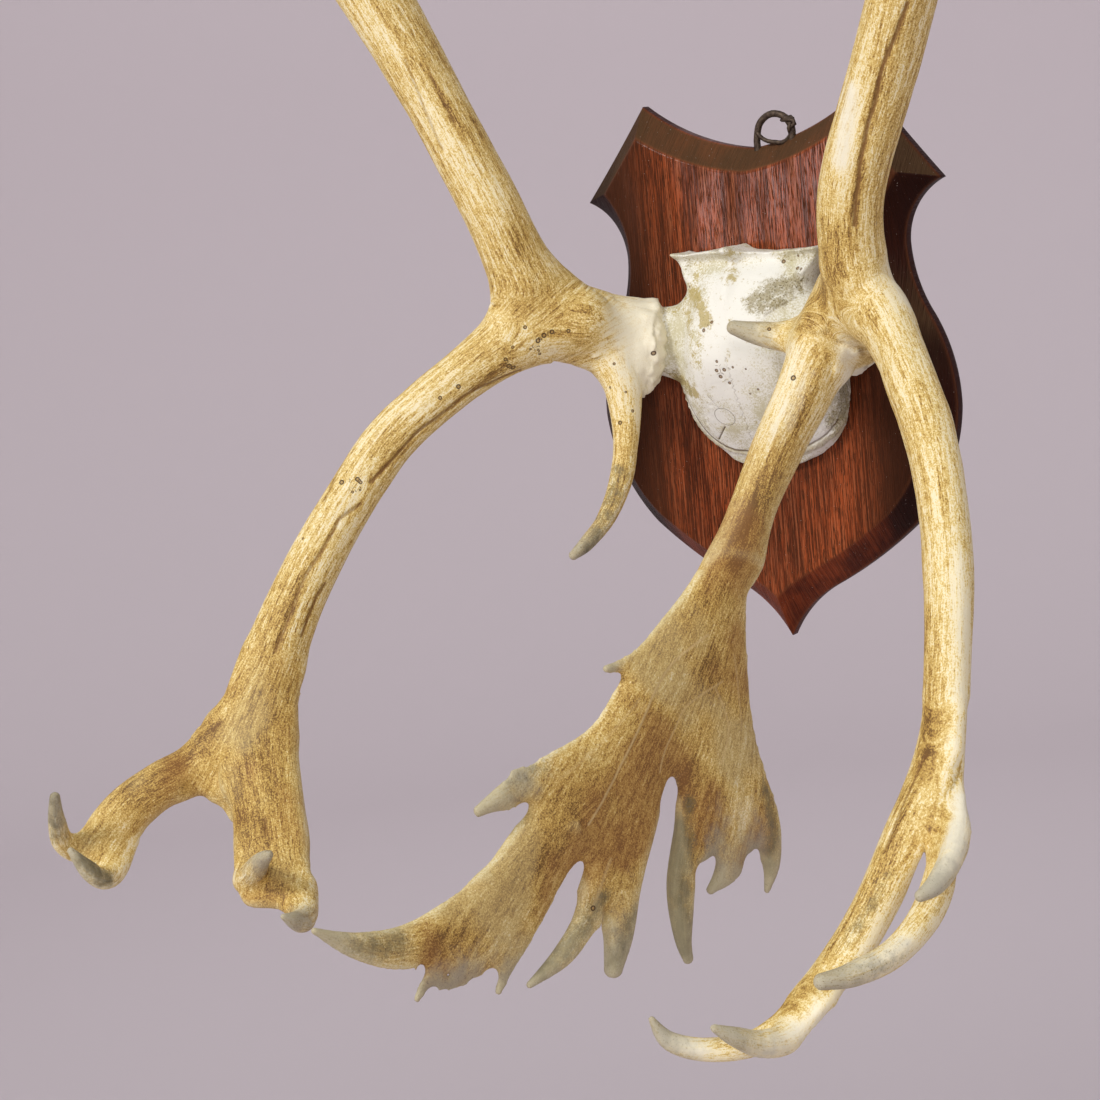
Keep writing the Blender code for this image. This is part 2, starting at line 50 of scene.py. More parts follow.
# Camera, as fitted to the photograph
PHOTO_SIZE = 1100
CAMERA_PLACE = (0.751, -1.413, 0.167)
CAMERA_YAW = 33.62
CAMERA_PITCH = -9.64
CAMERA_ROLL = -5.44
FOCAL_PIXELS = 2480.0
SENSOR_WIDTH = 36.0

# Skin resolution: the fused skins' voxel, and the part above the photograph's edge
LEFT_VOXEL = 1.42
RIGHT_VOXEL = 1.75
SKULL_VOXEL = 0.8
CALM_HEIGHT = 285.0
CALM_SHARE = 0.15
PATH_STEP = 2.5
TUBE_SIDES = 20
BEAM_FILLET = 1.15           # fillet between limbs, in mean half thicknesses
PALM_FILLET = 2.4
PALM_START = (110.0, 190.0)  # where a palmate limb's look sets in, measured from the burr
PALM_SHARED = (0.1, 0.32)    # how far limbs share a place for it to count as a palm
PALM_FACING = (0.6, 0.85)    # how squarely a place faces out of the palm
PALM_ROUNDS = 150            # rounds of smoothing
SOFT_ROUNDS = 60
THROAT_ROUNDS = 200
BULGE_ROUNDS = 10
CAP_RINGS = 4
SETTLE_ROUNDS = 7
SETTLE_REACH = 2.5           # most that a point moves in a round, in millimetres
SETTLE_SHARE = 0.9

# Small relief of an antler: sizes across, through and along it, and heights
FLUTE_SIZE = (7.0, 7.0, 90.0)
RIPPLE_SIZE = (2.6, 2.6, 30.0)
LUMP_SIZE = 26.0
FLUTE_HEIGHT = 0.34
RIPPLE_HEIGHT = 0.1
LUMP_HEIGHT = 0.35
VEIN_HEIGHT = 0.08
GROOVE_DEPTH = 0.7
PIT_DEPTH = 0.3
PIT_RADIUS = 1.45
WORN_REACH = 32.0            # how far from its end a tine is worn
BURR_BLEACH = (24.0, 60.0)   # how far from the burr the rind is bleached
BULGE_FADE = 60.0            # over this height the bulges fade out below the calm part
BURR_REACH = 6.0             # how far off the beam's own skin the burr reaches
BURR_RUN = 3.0               # where its ring lies along the beam, and how broad it is
BURR_SPREAD = 3.4
PEARL_SIZE = 5.0
PEARL_TURNS = 3.2
PEARL_HEIGHT = 3.0
NECK_RUN = 14.0              # the lumps above the burr
NECK_SPREAD = 9.0
NECK_LUMP_SIZE = 11.0
NECK_LUMP_HEIGHT = 1.6

# Studio, in metres
FLOOR_Z = -1.6
FLOOR_RADIUS = 5.0
BOWL_BEND = 2.0
BOWL_HEIGHT = 6.0
SKY_TINT = (0.97, 0.97, 1.0, 1.0)
SKY_STRENGTH = 0.52
LAMPS = [                    # place, aim, size, power in watts and tint
    ("key", (-1.2, -4.4, 3.2), (0.0, -0.1, 0.1), 1.2, 163.0, (1.0, 0.985, 0.96)),
    ("fill", (2.5, -4.0, 1.6), (0.0, -0.2, 0.0), 1.2, 60.0, (1.0, 0.985, 0.97)),
    ("window", (-1.4, -2.55, 0.1), (0.0, 0.0, 0.1), 0.45, 9.0, (0.94, 0.95, 1.0)),
    ("wall", (-1.0, 2.2, 1.8), (-3.6, 5.6, 1.4), 2.0, 44.0, (1.0, 0.99, 1.0)),
]

# Antlers. A limb is a list of (x, y, z, half width, half thickness), and the
# flat direction is the way that its thickness runs.
ANTLER_X = 5.0               # mirror plane of the two antlers
LEFT_BEAM = [
    (-60, -48, 22, 26, 22), (-67, -53, 24, 31, 26), (-75, -60, 29, 28, 23),
    (-87, -74, 37, 25, 21), (-97, -92, 45.5, 25, 21), (-105, -109, 61, 25, 20),
    (-111.5, -120, 84, 21, 19), (-121, -132, 124, 19, 19), (-146.5, -144, 190, 19, 18),
    (-173, -156, 253, 22, 19),
]
RIGHT_BEAM = [
    (70, -47.5, 24, 22, 20), (76.5, -52.5, 27, 26, 23), (84.5, -59.5, 31, 26, 22),
    (97, -74, 36, 25, 21), (107, -92, 45, 26, 21), (114, -109, 58, 24, 20),
    (117.5, -119.5, 79, 20, 19), (127, -131.5, 121, 18, 19), (159.5, -142.5, 190, 19, 19),
    (188, -157, 253, 22, 19),
]
UPPER_BEAM = [               # right side; the left side is its mirror image
    (216, -172, 322, 22, 18), (244, -191, 400, 23, 17), (272, -221, 478, 25, 15),
    (296, -263, 552, 29, 13), (310, -314, 614, 31, 11), (314, -370, 660, 28, 10),
    (308, -426, 690, 22, 9), (296, -476, 700, 13, 8), (286, -516, 696, 4, 4),
]
CROWN_POINTS = [
    [(290, -252, 532, 18, 11), (302, -258, 590, 15, 9), (310, -252, 650, 10, 8),
     (312, -240, 704, 3, 3)],
    [(302, -288, 584, 18, 11), (312, -314, 652, 15, 9), (316, -326, 722, 10, 8),
     (312, -326, 784, 3, 3)],
    [(310, -334, 628, 18, 10), (316, -366, 696, 15, 9), (314, -386, 764, 10, 8),
     (306, -392, 824, 3, 3)],
    [(312, -386, 668, 16, 10), (312, -424, 726, 13, 8), (304, -446, 778, 8, 7),
     (294, -458, 822, 3, 3)],
    [(304, -440, 694, 12, 9), (298, -478, 732, 9, 7), (288, -500, 770, 3, 3)],
]
BACK_TINE = [
    (244, -190, 400, 15, 12), (250, -166, 428, 12, 10), (256, -142, 458, 8, 8),
    (258, -120, 486, 3, 3),
]
LEFT_BEZ = [
    (-84, -97, 46, 20, 18), (-105, -112, 47, 25, 19), (-121, -127, 37, 20, 17),
    (-138.5, -146, 22.5, 16.5, 14), (-159, -168.5, 3.5, 16, 13), (-178, -189.5, -18.5, 16, 12),
    (-196, -217.5, -56.5, 16, 13), (-206, -240.5, -86.5, 17, 13), (-212, -260.5, -114, 18, 13),
    (-216, -277.5, -141, 20.5, 13), (-220, -290, -168, 23, 12),
]
RIGHT_BEZ = [
    (96, -100, 50, 20, 18), (116, -112, 54, 21, 18), (135, -123, 42, 18.5, 17),
    (153.5, -143.5, 26, 16, 14), (171.5, -166.5, 7, 16, 14), (187.5, -185.5, -14, 16, 14),
    (204.5, -211.5, -45, 15, 13), (216.5, -235.5, -78, 15, 13), (224.5, -258.5, -111, 14, 12),
    (228.5, -274.5, -137, 15, 11), (231, -290, -164, 17, 11),
]
LEFT_OUTER_PRONG = [
    (-214, -280, -146, 18, 12), (-231, -296, -174, 18, 12), (-251, -313, -195, 16, 11),
    (-262, -335, -201, 14, 10), (-272, -352, -211, 15, 9), (-278, -366.5, -221, 14.5, 9),
    (-280.5, -379, -231, 12.5, 8),
]
LEFT_OUTER_TIPS = [
    [(-277, -364.5, -222, 11, 8), (-289, -377.5, -231, 9, 8), (-292, -392.5, -223, 7, 6),
     (-285, -403, -205, 5, 5), (-279, -408, -190, 3, 3)],
    [(-273, -364, -229, 10, 8), (-270, -378, -243, 8, 7), (-268, -390, -244, 6, 6),
     (-270, -399, -235, 5, 5), (-275, -405, -223, 2, 2)],
]
LEFT_INNER_PRONG = [
    (-216, -284, -156, 19, 12), (-212, -300, -188, 23, 12), (-194, -321, -216, 23, 11),
    (-179, -338, -232, 23, 10), (-169.5, -350.5, -245, 21.5, 9),
    (-163.5, -358.5, -253, 18.5, 8),
]
LEFT_INNER_TIPS = [
    [(-190, -343, -249, 12, 9), (-183, -357, -247, 9, 8), (-167, -370, -237, 7, 7),
     (-153, -379, -227, 5, 5), (-141, -386, -220, 3, 3)],
    [(-153.5, -349, -255, 12, 10), (-139.5, -363, -262, 9, 8), (-131, -376.5, -261, 6.5, 6.5),
     (-127, -388, -256, 4.5, 4.5), (-127, -395, -252, 2, 2)],
]
LEFT_CROTCH = [
    (-270.5, -318.5, -214.5, 4, 8), (-257, -314.5, -207, 6, 11), (-244, -311, -205.5, 8, 12),
    (-235, -309.5, -212, 7, 11), (-230, -310, -223, 4, 8),
]
RIGHT_OUTER_PRONG = [
    (231, -284, -158, 14, 10), (236, -298, -182, 12, 9), (244, -324, -206, 9, 8),
    (246, -349.5, -226, 8.5, 8), (239, -375, -240, 8, 7), (227, -398, -245, 7, 6),
    (217, -412, -245, 4, 4),
]
RIGHT_OUTER_TIPS = [
    [(233, -292, -170, 9, 9), (245, -306, -186, 7, 7), (253, -326, -196, 7, 7),
     (256, -345, -204, 6, 6), (255, -360, -210, 5, 5), (251, -369, -213, 3, 3)],
]
RIGHT_INNER_PRONG = [
    (229, -282, -156, 18, 11), (227, -299.5, -178, 17, 10), (220, -320, -203, 14, 10),
    (213, -340, -229, 13, 10), (202.5, -360, -253, 14.5, 9), (191, -380.5, -271, 14.5, 9),
]
RIGHT_INNER_TIPS = [
    [(198, -370, -264, 10, 8), (188, -394, -282, 9, 8), (181, -412, -281, 7, 7),
     (175, -426, -273, 5, 5), (169, -435, -266, 2, 2)],
    [(196, -374, -268, 10, 8), (170, -391, -288, 7, 7), (146, -403, -292, 6, 6),
     (130, -413, -286, 5, 5), (124, -419, -273, 2, 2)],
]
LEFT_BROW = [
    (-77, -76, 30, 20, 17), (-70, -79, 10, 14, 13), (-66, -83, -8, 11, 10),
    (-63, -91, -32, 8, 8), (-62, -103, -55, 7, 7), (-64, -121, -76, 6, 6),
    (-69, -137, -88, 5, 5), (-73, -148, -94, 3, 3),
]
RIGHT_SPUR = [
    (96, -96, 44, 24, 14), (75, -97, 33, 15, 11), (58, -100, 31.5, 9.5, 8.5),
    (44, -106, 34.5, 7, 7), (32.5, -112, 39, 4.5, 4.5),
]
SHOVEL_RIB = [
    (94, -92, 44, 24, 19), (86, -103, 24, 21, 17), (78, -118, -2, 18, 15),
    (69, -140, -32, 16, 13), (61, -156, -60, 14.5, 12), (56, -173, -87, 16.5, 11),
    (47.5, -194.5, -111, 18.5, 10), (34, -230, -149, 26, 9), (21, -264, -186.5, 27, 8),
    (5, -306, -217, 26, 7), (-9.5, -343, -242, 20.5, 7), (-24, -377.5, -254, 16, 6),
    (-36, -408, -256, 12, 5), (-45, -435, -247, 7, 4), (-53, -458, -232, 2, 2),
]
SHOVEL_POINTS = [            # from the front edge round to the back edge
    [(48, -196, -110, 14, 8), (33, -230, -131, 11, 6), (25, -254, -135, 6, 4),
     (20, -268, -134, 2, 2)],
    [(36, -225, -144, 15, 8), (15.5, -273, -175, 10.5, 7), (2, -311, -186, 12, 6),
     (-6, -335, -189, 9, 5), (-11, -348, -191.5, 5, 4), (-14.5, -356.5, -194, 3, 2)],
    [(-17, -362, -248, 13, 6), (-25.5, -383, -267, 11, 5), (-30, -396, -278.5, 5, 4),
     (-33, -404, -286, 2, 2)],
    [(-4, -330, -244, 16, 6), (-14, -354, -271, 12, 5), (-21, -372, -283, 6, 4),
     (-28, -390, -285.5, 3, 3)],
    [(2, -314, -230, 19, 7), (-6, -335, -264, 11, 6), (-11.5, -348, -285, 6.5, 4),
     (-14, -355, -297, 2, 2)],
    [(28, -246, -178, 20, 8), (18, -272, -222, 17, 7), (13, -286, -254, 12, 6),
     (9, -298, -273.5, 8, 5), (2.5, -314.5, -289, 5.5, 5), (-6, -336, -299, 2, 2)],
    [(33, -230, -172, 17, 8), (25.5, -251, -214, 14.5, 7), (19, -267.5, -255.5, 12, 7),
     (16.5, -276, -288, 9, 6), (14.5, -281.5, -306.5, 5.5, 5)],
    [(52, -182, -103, 16, 10), (45, -200, -150, 16, 8), (40, -215, -200.5, 12.5, 7),
     (37.5, -221.5, -237, 10.5, 7), (34, -231, -270.5, 9, 6), (33, -233, -300.5, 5.5, 5),
     (33.5, -230, -316, 3.5, 3)],
    [(50, -187, -160, 16, 8), (49, -191, -215, 19, 7), (48, -192.5, -251.5, 18, 6),
     (46, -197.5, -269.5, 10.5, 5), (41, -210, -279.5, 3, 3)],
    [(52.5, -181, -104.5, 13, 9), (50, -187.5, -157.5, 15, 8), (51, -182.5, -207.5, 16.5, 7),
     (56.5, -169.5, -246, 12, 6), (58, -166, -274, 6, 5), (56, -170, -291, 2, 2)],
    [(-9.5, -334, -253.5, 15, 6.5), (-17, -361.5, -267.5, 13, 5.5), (-24, -377, -275.5, 8, 5)],
    [(42.5, -208.5, -201, 14, 7), (42.5, -211, -233, 13, 7), (40.5, -215, -257.5, 8, 6)],
    [(52, -184, -225, 18, 7), (53, -180.5, -251.5, 13, 6), (52.5, -181.5, -262, 7, 5)],
    [(1.5, -312.5, -190, 9, 6), (-3, -328.5, -181.5, 6, 5), (-4.5, -332, -179, 3, 4)],
    [(39.5, -217, -190.5, 8, 7), (37, -222.5, -199, 6.5, 7), (35.5, -226.5, -204.5, 4.5, 5)],
]
BEAM_FLAT = (0.9, 0.4, 0.0)      # right side
PRONG_FLAT = (0.5, 0.87, 0.0)    # right side
SHOVEL_FLAT = (0.92, -0.39, 0.0)


def mirrored(rows):
    return [(2 * ANTLER_X - row[0], *row[1:]) for row in rows]


def mirrored_direction(direction):
    return (-direction[0], direction[1], direction[2])


def unit(vectors):
    """Vectors brought to length one, along their last axis."""
    return vectors / np.maximum(np.linalg.norm(vectors, axis=-1, keepdims=True), 1e-9)


def eased(low, high, values):
    """0 below low, 1 above high, and a smooth step between."""
    part = np.clip((values - low) / (high - low), 0.0, 1.0)
    return part * part * (3 - 2 * part)


def lattice(cell, seed):
    """A fixed random number from -1 to 1 for each corner of a unit grid."""
    mixed = cell[:, 0] * 73856093 ^ cell[:, 1] * 19349663 ^ cell[:, 2] * 83492791 ^ seed * 9176867
    mixed = (mixed ^ mixed >> 13) * 1274126177 & 0xFFFFFFFF
    mixed = mixed ^ mixed >> 16
    return (mixed & 0xFFFF) / 32767.5 - 1.0


def noise(points, seed=0):
    """Smooth noise: the corner values of a unit grid, eased between by t*t*(3 - 2*t)."""
    base = np.floor(points)
    part = points - base
    ease = part * part * (3 - 2 * part)
    cell = base.astype(np.int64)
    total = np.zeros(len(points))
    for corner in itertools.product((0, 1), repeat=3):
        weight = np.where(np.array(corner) == 1, ease, 1 - ease).prod(axis=1)
        total += weight * lattice(cell + corner, seed)
    return total


def fractal(points, octaves, seed=0):
    """Noise summed over octaves, each at twice the fineness and half the height."""
    total = np.zeros(len(points))
    for octave in range(octaves):
        total += noise(points * 2.0 ** octave, seed + octave) / 2.0 ** octave
    return total


def bell(values, centre, spread):
    """1 at the centre, falling off to both sides: exp(-((value - centre) / spread) ** 2)."""
    return np.exp(-((values - centre) / spread) ** 2)


def run_along(points):
    """How far along their line points are, from 0 at the first."""
    return np.concatenate(([0.0], np.cumsum(np.linalg.norm(np.diff(points, axis=0), axis=1))))


def along(rows, places):
    """Rows read at fractional places, on a Catmull-Rom curve through them."""
    last = len(rows) - 1
    start = np.clip(places.astype(int), 0, last - 1)
    t = (places - start)[:, None]
    a = rows[np.maximum(start - 1, 0)]
    b = rows[start]
    c = rows[start + 1]
    d = rows[np.minimum(start + 2, last)]
    return 0.5 * (2 * b + (c - a) * t + (2 * a - 5 * b + 4 * c - d) * t ** 2
                  + (3 * b - a - 3 * c + d) * t ** 3)


class Limb:
    """A limb of an antler: an elliptical section carried along a smooth path.

    The path is sampled at even steps. The section's thickness direction is carried
    from row to row, drawn each time towards the limb's flat direction.
    """

    def __init__(self, rows, flat, parent=None, blunt=None, fillet=BEAM_FILLET, bare_end=True):
        rows = np.array(rows, float)
        self.fillet = fillet
        self.bare_end = bare_end
        fine = np.linspace(0, len(rows) - 1, 40 * (len(rows) - 1) + 1)
        lengths = run_along(along(rows, fine)[:, :3])
        self.length = lengths[-1]
        count = max(4, int(round(self.length / PATH_STEP)))
        self.step = self.length / count
        places = np.interp(np.linspace(0, self.length, count + 1), lengths, fine)
        samples = along(rows, places)
        self.centre = samples[:, :3]
        self.wide = np.maximum(samples[:, 3], 1.0)
        self.thin = np.maximum(samples[:, 4], 1.0)
        self.forward = unit(np.gradient(self.centre, axis=0))
        aims = self.carried(rows, unit(np.array(flat)))
        through = np.stack([np.interp(places, np.arange(len(rows)), aim) for aim in aims.T], axis=1)
        through -= self.forward * (through * self.forward).sum(1, keepdims=True)
        self.through = unit(through)
        self.across = np.cross(self.through, self.forward)
        self.root_cap = self.thin[0] if blunt is None else blunt
        self.tip_cap = rows[-1, 4]
        self.table = np.concatenate((
            self.centre, self.forward, self.across, self.through,
            self.wide[:, None], self.thin[:, None]), axis=1)
        self.root = 0.0
        if parent is not None:
            self.root = parent.root + beside(self.centre[:1], parent)["run"][0]

    @staticmethod
    def carried(rows, flat):
        """The thickness direction at each row."""
        places = np.arange(len(rows), dtype=float)
        ahead = along(rows, np.minimum(places + 0.02, len(rows) - 1))
        behind = along(rows, np.maximum(places - 0.02, 0))
        headings = unit((ahead - behind)[:, :3])
        through = None
        found = []
        for forward in headings:
            aim = flat - forward * flat.dot(forward)
            if through is None:
                through = unit(aim)
            else:
                kept = unit(through - forward * through.dot(forward))
                through = unit(kept + aim * (1.0 if kept.dot(aim) > 0 else -1.0))
            found.append(through)
        return np.array(found)


def beside(points, limb):
    """Where points lie beside a limb.

    The nearest sample of the path gives the run along it, and the offset from the path
    gives the place in the section. With q the offset measured in half axes, the limb's
    skin lies where q is 1, so the distance to it is the offset times (1 - 1 / q).
    """
    core = limb.centre.astype(np.float32)
    score = points.astype(np.float32) @ core.T - 0.5 * (core ** 2).sum(1)
    nearest = score.argmax(axis=1)
    run = nearest * limb.step
    run = run + ((points - limb.centre[nearest]) * limb.forward[nearest]).sum(1)
    held = np.clip(run, 0.0, limb.length)
    index = np.minimum((held / limb.step).astype(int), len(limb.centre) - 2)
    part = (held / limb.step - index)[:, None]
    row = limb.table[index] * (1 - part) + limb.table[index + 1] * part
    centre, forward, across, through = (row[:, k:k + 3] for k in (0, 3, 6, 9))
    wide, thin = row[:, 12], row[:, 13]
    offset = points - centre
    side = (offset * across).sum(1)
    depth = (offset * through).sum(1)
    over = run - held
    cap = np.where(over < 0, limb.root_cap, limb.tip_cap)
    reach = np.sqrt(side ** 2 + depth ** 2 + over ** 2)
    turns = np.sqrt((side / wide) ** 2 + (depth / thin) ** 2 + (over / cap) ** 2)
    away = unit(across * (side / wide ** 2)[:, None] + through * (depth / thin ** 2)[:, None]
                + forward * (over / cap ** 2)[:, None])
    return {
        "run": held, "side": side, "depth": depth, "through": through,
        "distance": reach * (1 - 1 / np.maximum(turns, 0.05)), "away": away,
        "radius": 0.5 * (wide + thin) * limb.fillet,
    }


class Blend:
    """How points lie beside all the limbs of an antler, blended where limbs meet.

    The skin is where the least of the distances is zero, with a fillet wherever two
    limbs turn away from each other: the least distance less h * h * k / 4, where h falls
    from 1 to 0 as the two least distances part by k. The two nearest limbs are kept as
    rows of distance, radius and direction away.
    """

    REACH = 34.0
    SOFTNESS = 3.5

    def __init__(self, points, limbs):
        count = len(points)
        near = np.tile((FAR, 10.0, 0.0, 0.0, 0.0), (count, 1))
        second = near.copy()
        total = np.full(count, 1e-12)
        grain = np.zeros((count, 3))
        through = np.zeros((count, 3))
        from_tip = np.zeros(count)
        palmate = np.zeros(count)
        most = np.zeros(count)
        for limb in limbs:
            low = (limb.centre - limb.wide[:, None]).min(0) - self.REACH
            high = (limb.centre + limb.wide[:, None]).max(0) + self.REACH
            inside = np.nonzero(((points > low) & (points < high)).all(axis=1))[0]
            for part in np.array_split(inside, max(1, len(inside) // 20000)):
                if not len(part):
                    continue
                found = beside(points[part], limb)
                distance = found["distance"]
                row = np.column_stack((distance, found["radius"], found["away"]))
                closer = distance < near[part, 0]
                runner = ~closer & (distance < second[part, 0])
                second[part[closer]] = near[part[closer]]
                near[part[closer]] = row[closer]
                second[part[runner]] = row[runner]
                weight = np.exp(-np.clip(distance, -20, 60) / self.SOFTNESS)
                total[part] += weight
                local = np.stack((found["side"], found["depth"], found["run"] + limb.root), axis=1)
                grain[part] += local * weight[:, None]
                through[part] += found["through"] * weight[:, None]
                to_end = limb.length - found["run"] if limb.bare_end else FAR
                from_tip[part] += np.minimum(to_end, 200.0) * weight
                most[part] = np.maximum(most[part], weight)
                if limb.fillet == PALM_FILLET:
                    palmate[part] += eased(*PALM_START, found["run"] + limb.root) * weight
        radius = np.minimum(near[:, 1], second[:, 1]) + 1.0
        open_turn = 1 - (near[:, 2:] * second[:, 2:]).sum(1)
        parted = np.clip(1 - (second[:, 0] - near[:, 0]) / radius, 0, 1)
        self.distance = near[:, 0] - parted ** 2 * radius / 4 * np.clip(open_turn, 0, 1)
        self.grain = grain / total[:, None]
        self.through = unit(through)
        self.from_tip = from_tip / total
        self.palmate = palmate / total
        self.shared = 1 - most / total


def tube(limb, sides=TUBE_SIDES):
    """A limb's closed tube as points and triangles.

    Point (i, k) is centre_i + across_i * wide_i * cos(a) + through_i * thin_i * sin(a),
    with a = 2 * pi * k / sides. Half an ellipsoid closes each end.
    """
    rise = np.arange(1, CAP_RINGS) / CAP_RINGS * math.pi / 2
    rings = [(0, -limb.root_cap * math.sin(r), math.cos(r)) for r in rise[::-1]]
    rings += [(i, 0.0, 1.0) for i in range(len(limb.centre))]
    rings += [(-1, limb.tip_cap * math.sin(r), math.cos(r)) for r in rise]
    index = np.array([ring[0] for ring in rings])
    shift = np.array([ring[1] for ring in rings])[:, None]
    scale = np.array([ring[2] for ring in rings])
    centre = limb.centre[index] + limb.forward[index] * shift
    angle = 2 * np.pi * np.arange(sides) / sides
    cosine = np.cos(angle)[None, :, None] * (limb.wide[index] * scale)[:, None, None]
    sine = np.sin(angle)[None, :, None] * (limb.thin[index] * scale)[:, None, None]
    body = centre[:, None] + limb.across[index][:, None] * cosine
    body = body + limb.through[index][:, None] * sine
    poles = [limb.centre[0] - limb.forward[0] * limb.root_cap,
             limb.centre[-1] + limb.forward[-1] * limb.tip_cap]
    points = np.concatenate((body.reshape(-1, 3), poles))
    return points, closed_grid(len(rings), sides)


def closed_grid(rings, sides):
    """Triangles of a tube of rings whose two ends meet in the last two points."""
    low = np.arange(sides)
    after = (low + 1) % sides
    start = np.arange(rings - 1)[:, None] * sides
    a, b = start + low, start + after
    c, d = b + sides, a + sides
    walls = np.stack((a, b, c, a, c, d), axis=-1).reshape(-1, 3)
    first = rings * sides
    root = np.stack((np.full(sides, first), after, low), axis=1)
    last = (rings - 1) * sides
    tip = np.stack((np.full(sides, first + 1), last + low, last + after), axis=1)
    return np.concatenate((walls, root, tip))


def joined(shapes):
    """Several (points, triangles) shapes as one."""
    points, faces, count = [], [], 0
    for shape_points, shape_faces in shapes:
        points.append(shape_points)
        faces.append(shape_faces + count)
        count += len(shape_points)
    return np.concatenate(points), np.concatenate(faces)


def write_mesh(name, points, triangles):
    """A new mesh from points in millimetres and triangles."""
    mesh = bpy.data.meshes.new(name)
    mesh.vertices.add(len(points))
    mesh.vertices.foreach_set("co", (points * MM).astype(np.float32).ravel())
    mesh.loops.add(triangles.size)
    mesh.loops.foreach_set("vertex_index", triangles.astype(np.int32).ravel())
    mesh.polygons.add(len(triangles))
    mesh.polygons.foreach_set("loop_start", np.arange(0, triangles.size, 3, dtype=np.int32))
    mesh.update(calc_edges=True)
    mesh.validate()
    return mesh


def read_mesh(mesh):
    """A mesh's points in millimetres and its triangles."""
    points = np.empty(len(mesh.vertices) * 3, np.float32)
    mesh.vertices.foreach_get("co", points)
    mesh.calc_loop_triangles()
    triangles = np.empty(len(mesh.loop_triangles) * 3, np.int32)
    mesh.loop_triangles.foreach_get("vertices", triangles)
    return points.reshape(-1, 3).astype(float) / MM, triangles.reshape(-1, 3).astype(np.int64)


def through_modifier(points, triangles, kind, settings, weights=None):
    """The shape that a modifier makes of another, as points and triangles."""
    item = bpy.data.objects.new("draft", write_mesh("draft", points, triangles))
    bpy.context.scene.collection.objects.link(item)
    if weights is not None:
        group = item.vertex_groups.new(name="part")
        for level in np.unique(weights):
            group.add(np.nonzero(weights == level)[0].tolist(), float(level), "REPLACE")
        settings = {**settings, "vertex_group": "part"}
    modifier = item.modifiers.new("change", kind)
    for name, value in settings.items():
        setattr(modifier, name, value)
    evaluated = item.evaluated_get(bpy.context.evaluated_depsgraph_get())
    found = read_mesh(evaluated.to_mesh())
    evaluated.to_mesh_clear()
    mesh = item.data
    bpy.data.objects.remove(item)
    bpy.data.meshes.remove(mesh)
    return found


class Skin:
    """A closed skin of triangles that is shaped by moving its points."""

    def __init__(self, points, triangles):
        self.points = points
        self.triangles = triangles
        pairs = np.concatenate((triangles[:, [0, 1]], triangles[:, [1, 2]], triangles[:, [2, 0]]))
        pairs = np.unique(np.sort(pairs, axis=1), axis=0)
        self.here = np.concatenate((pairs[:, 0], pairs[:, 1]))
        self.there = np.concatenate((pairs[:, 1], pairs[:, 0]))
        self.degree = np.bincount(self.here, minlength=len(points)).astype(float)

    def spread(self, values):
        """Each point's mean of its neighbours' values."""
        if values.ndim == 1:
            return np.bincount(self.here, values[self.there], len(self.points)) / self.degree
        return np.stack([self.spread(column) for column in values.T], axis=1)

    def normals(self):
        a, b, c = (self.points[self.triangles[:, k]] for k in range(3))
        flat = np.cross(b - a, c - a)
        corners = self.triangles.T.ravel()
        count = len(self.points)
        total = [np.bincount(corners, np.tile(flat[:, k], 3), count) for k in range(3)]
        return unit(np.stack(total, axis=1))

    def smooth(self, rounds, amount=0.5, weight=1.0):
        """Draws points towards their neighbours' mean, by weight."""
        pull = amount * np.broadcast_to(weight, len(self.points))[:, None]
        for _ in range(rounds):
            self.points = self.points + (self.spread(self.points) - self.points) * pull

    def evened(self, values, rounds):
        """Values evened out over the skin."""
        for _ in range(rounds):
            values = 0.5 * values + 0.5 * self.spread(values)
        return values

    def bulge(self):
        """How far each point stands out from the skin round it, in millimetres."""
        offset = self.points - self.evened(self.points, BULGE_ROUNDS)
        return (offset * self.normals()).sum(1)

    def push(self, heights):
        """Moves points along their normals by heights in millimetres."""
        self.points = self.points + self.normals() * heights[:, None]

    def settle(self, limbs):
        """Moves points onto the blended skin of the limbs, evening them out on the way."""
        for turn in range(SETTLE_ROUNDS):
            distance = Blend(self.points, limbs).distance
            self.push(-SETTLE_SHARE * np.clip(distance, -SETTLE_REACH, SETTLE_REACH))
            if turn < SETTLE_ROUNDS - 1:
                normals = self.normals()
                slide = self.spread(self.points) - self.points
                slide -= normals * (slide * normals).sum(1, keepdims=True)
                self.points = self.points + 0.5 * slide


def fused(shapes, voxel):
    """One closed shape of small even triangles round shapes that overlap."""
    settings = {"mode": "VOXEL", "voxel_size": voxel * MM}
    return through_modifier(*joined(shapes), "REMESH", settings)


def fused_skin(limbs, voxel):
    """One closed skin round the tubes of all the limbs, calmer above the photograph's edge."""
    points, triangles = fused([tube(limb) for limb in limbs], voxel)
    high = (points[:, 2] > CALM_HEIGHT).astype(float)
    share = 1 - high.mean() * (1 - CALM_SHARE)
    settings = {"decimate_type": "COLLAPSE", "ratio": share, "vertex_group_factor": 1000.0}
    points, triangles = through_modifier(points, triangles, "DECIMATE", settings, high)
    skin = Skin(points, triangles)
    skin.smooth(2, 0.4)
    skin.settle(limbs)
    return skin


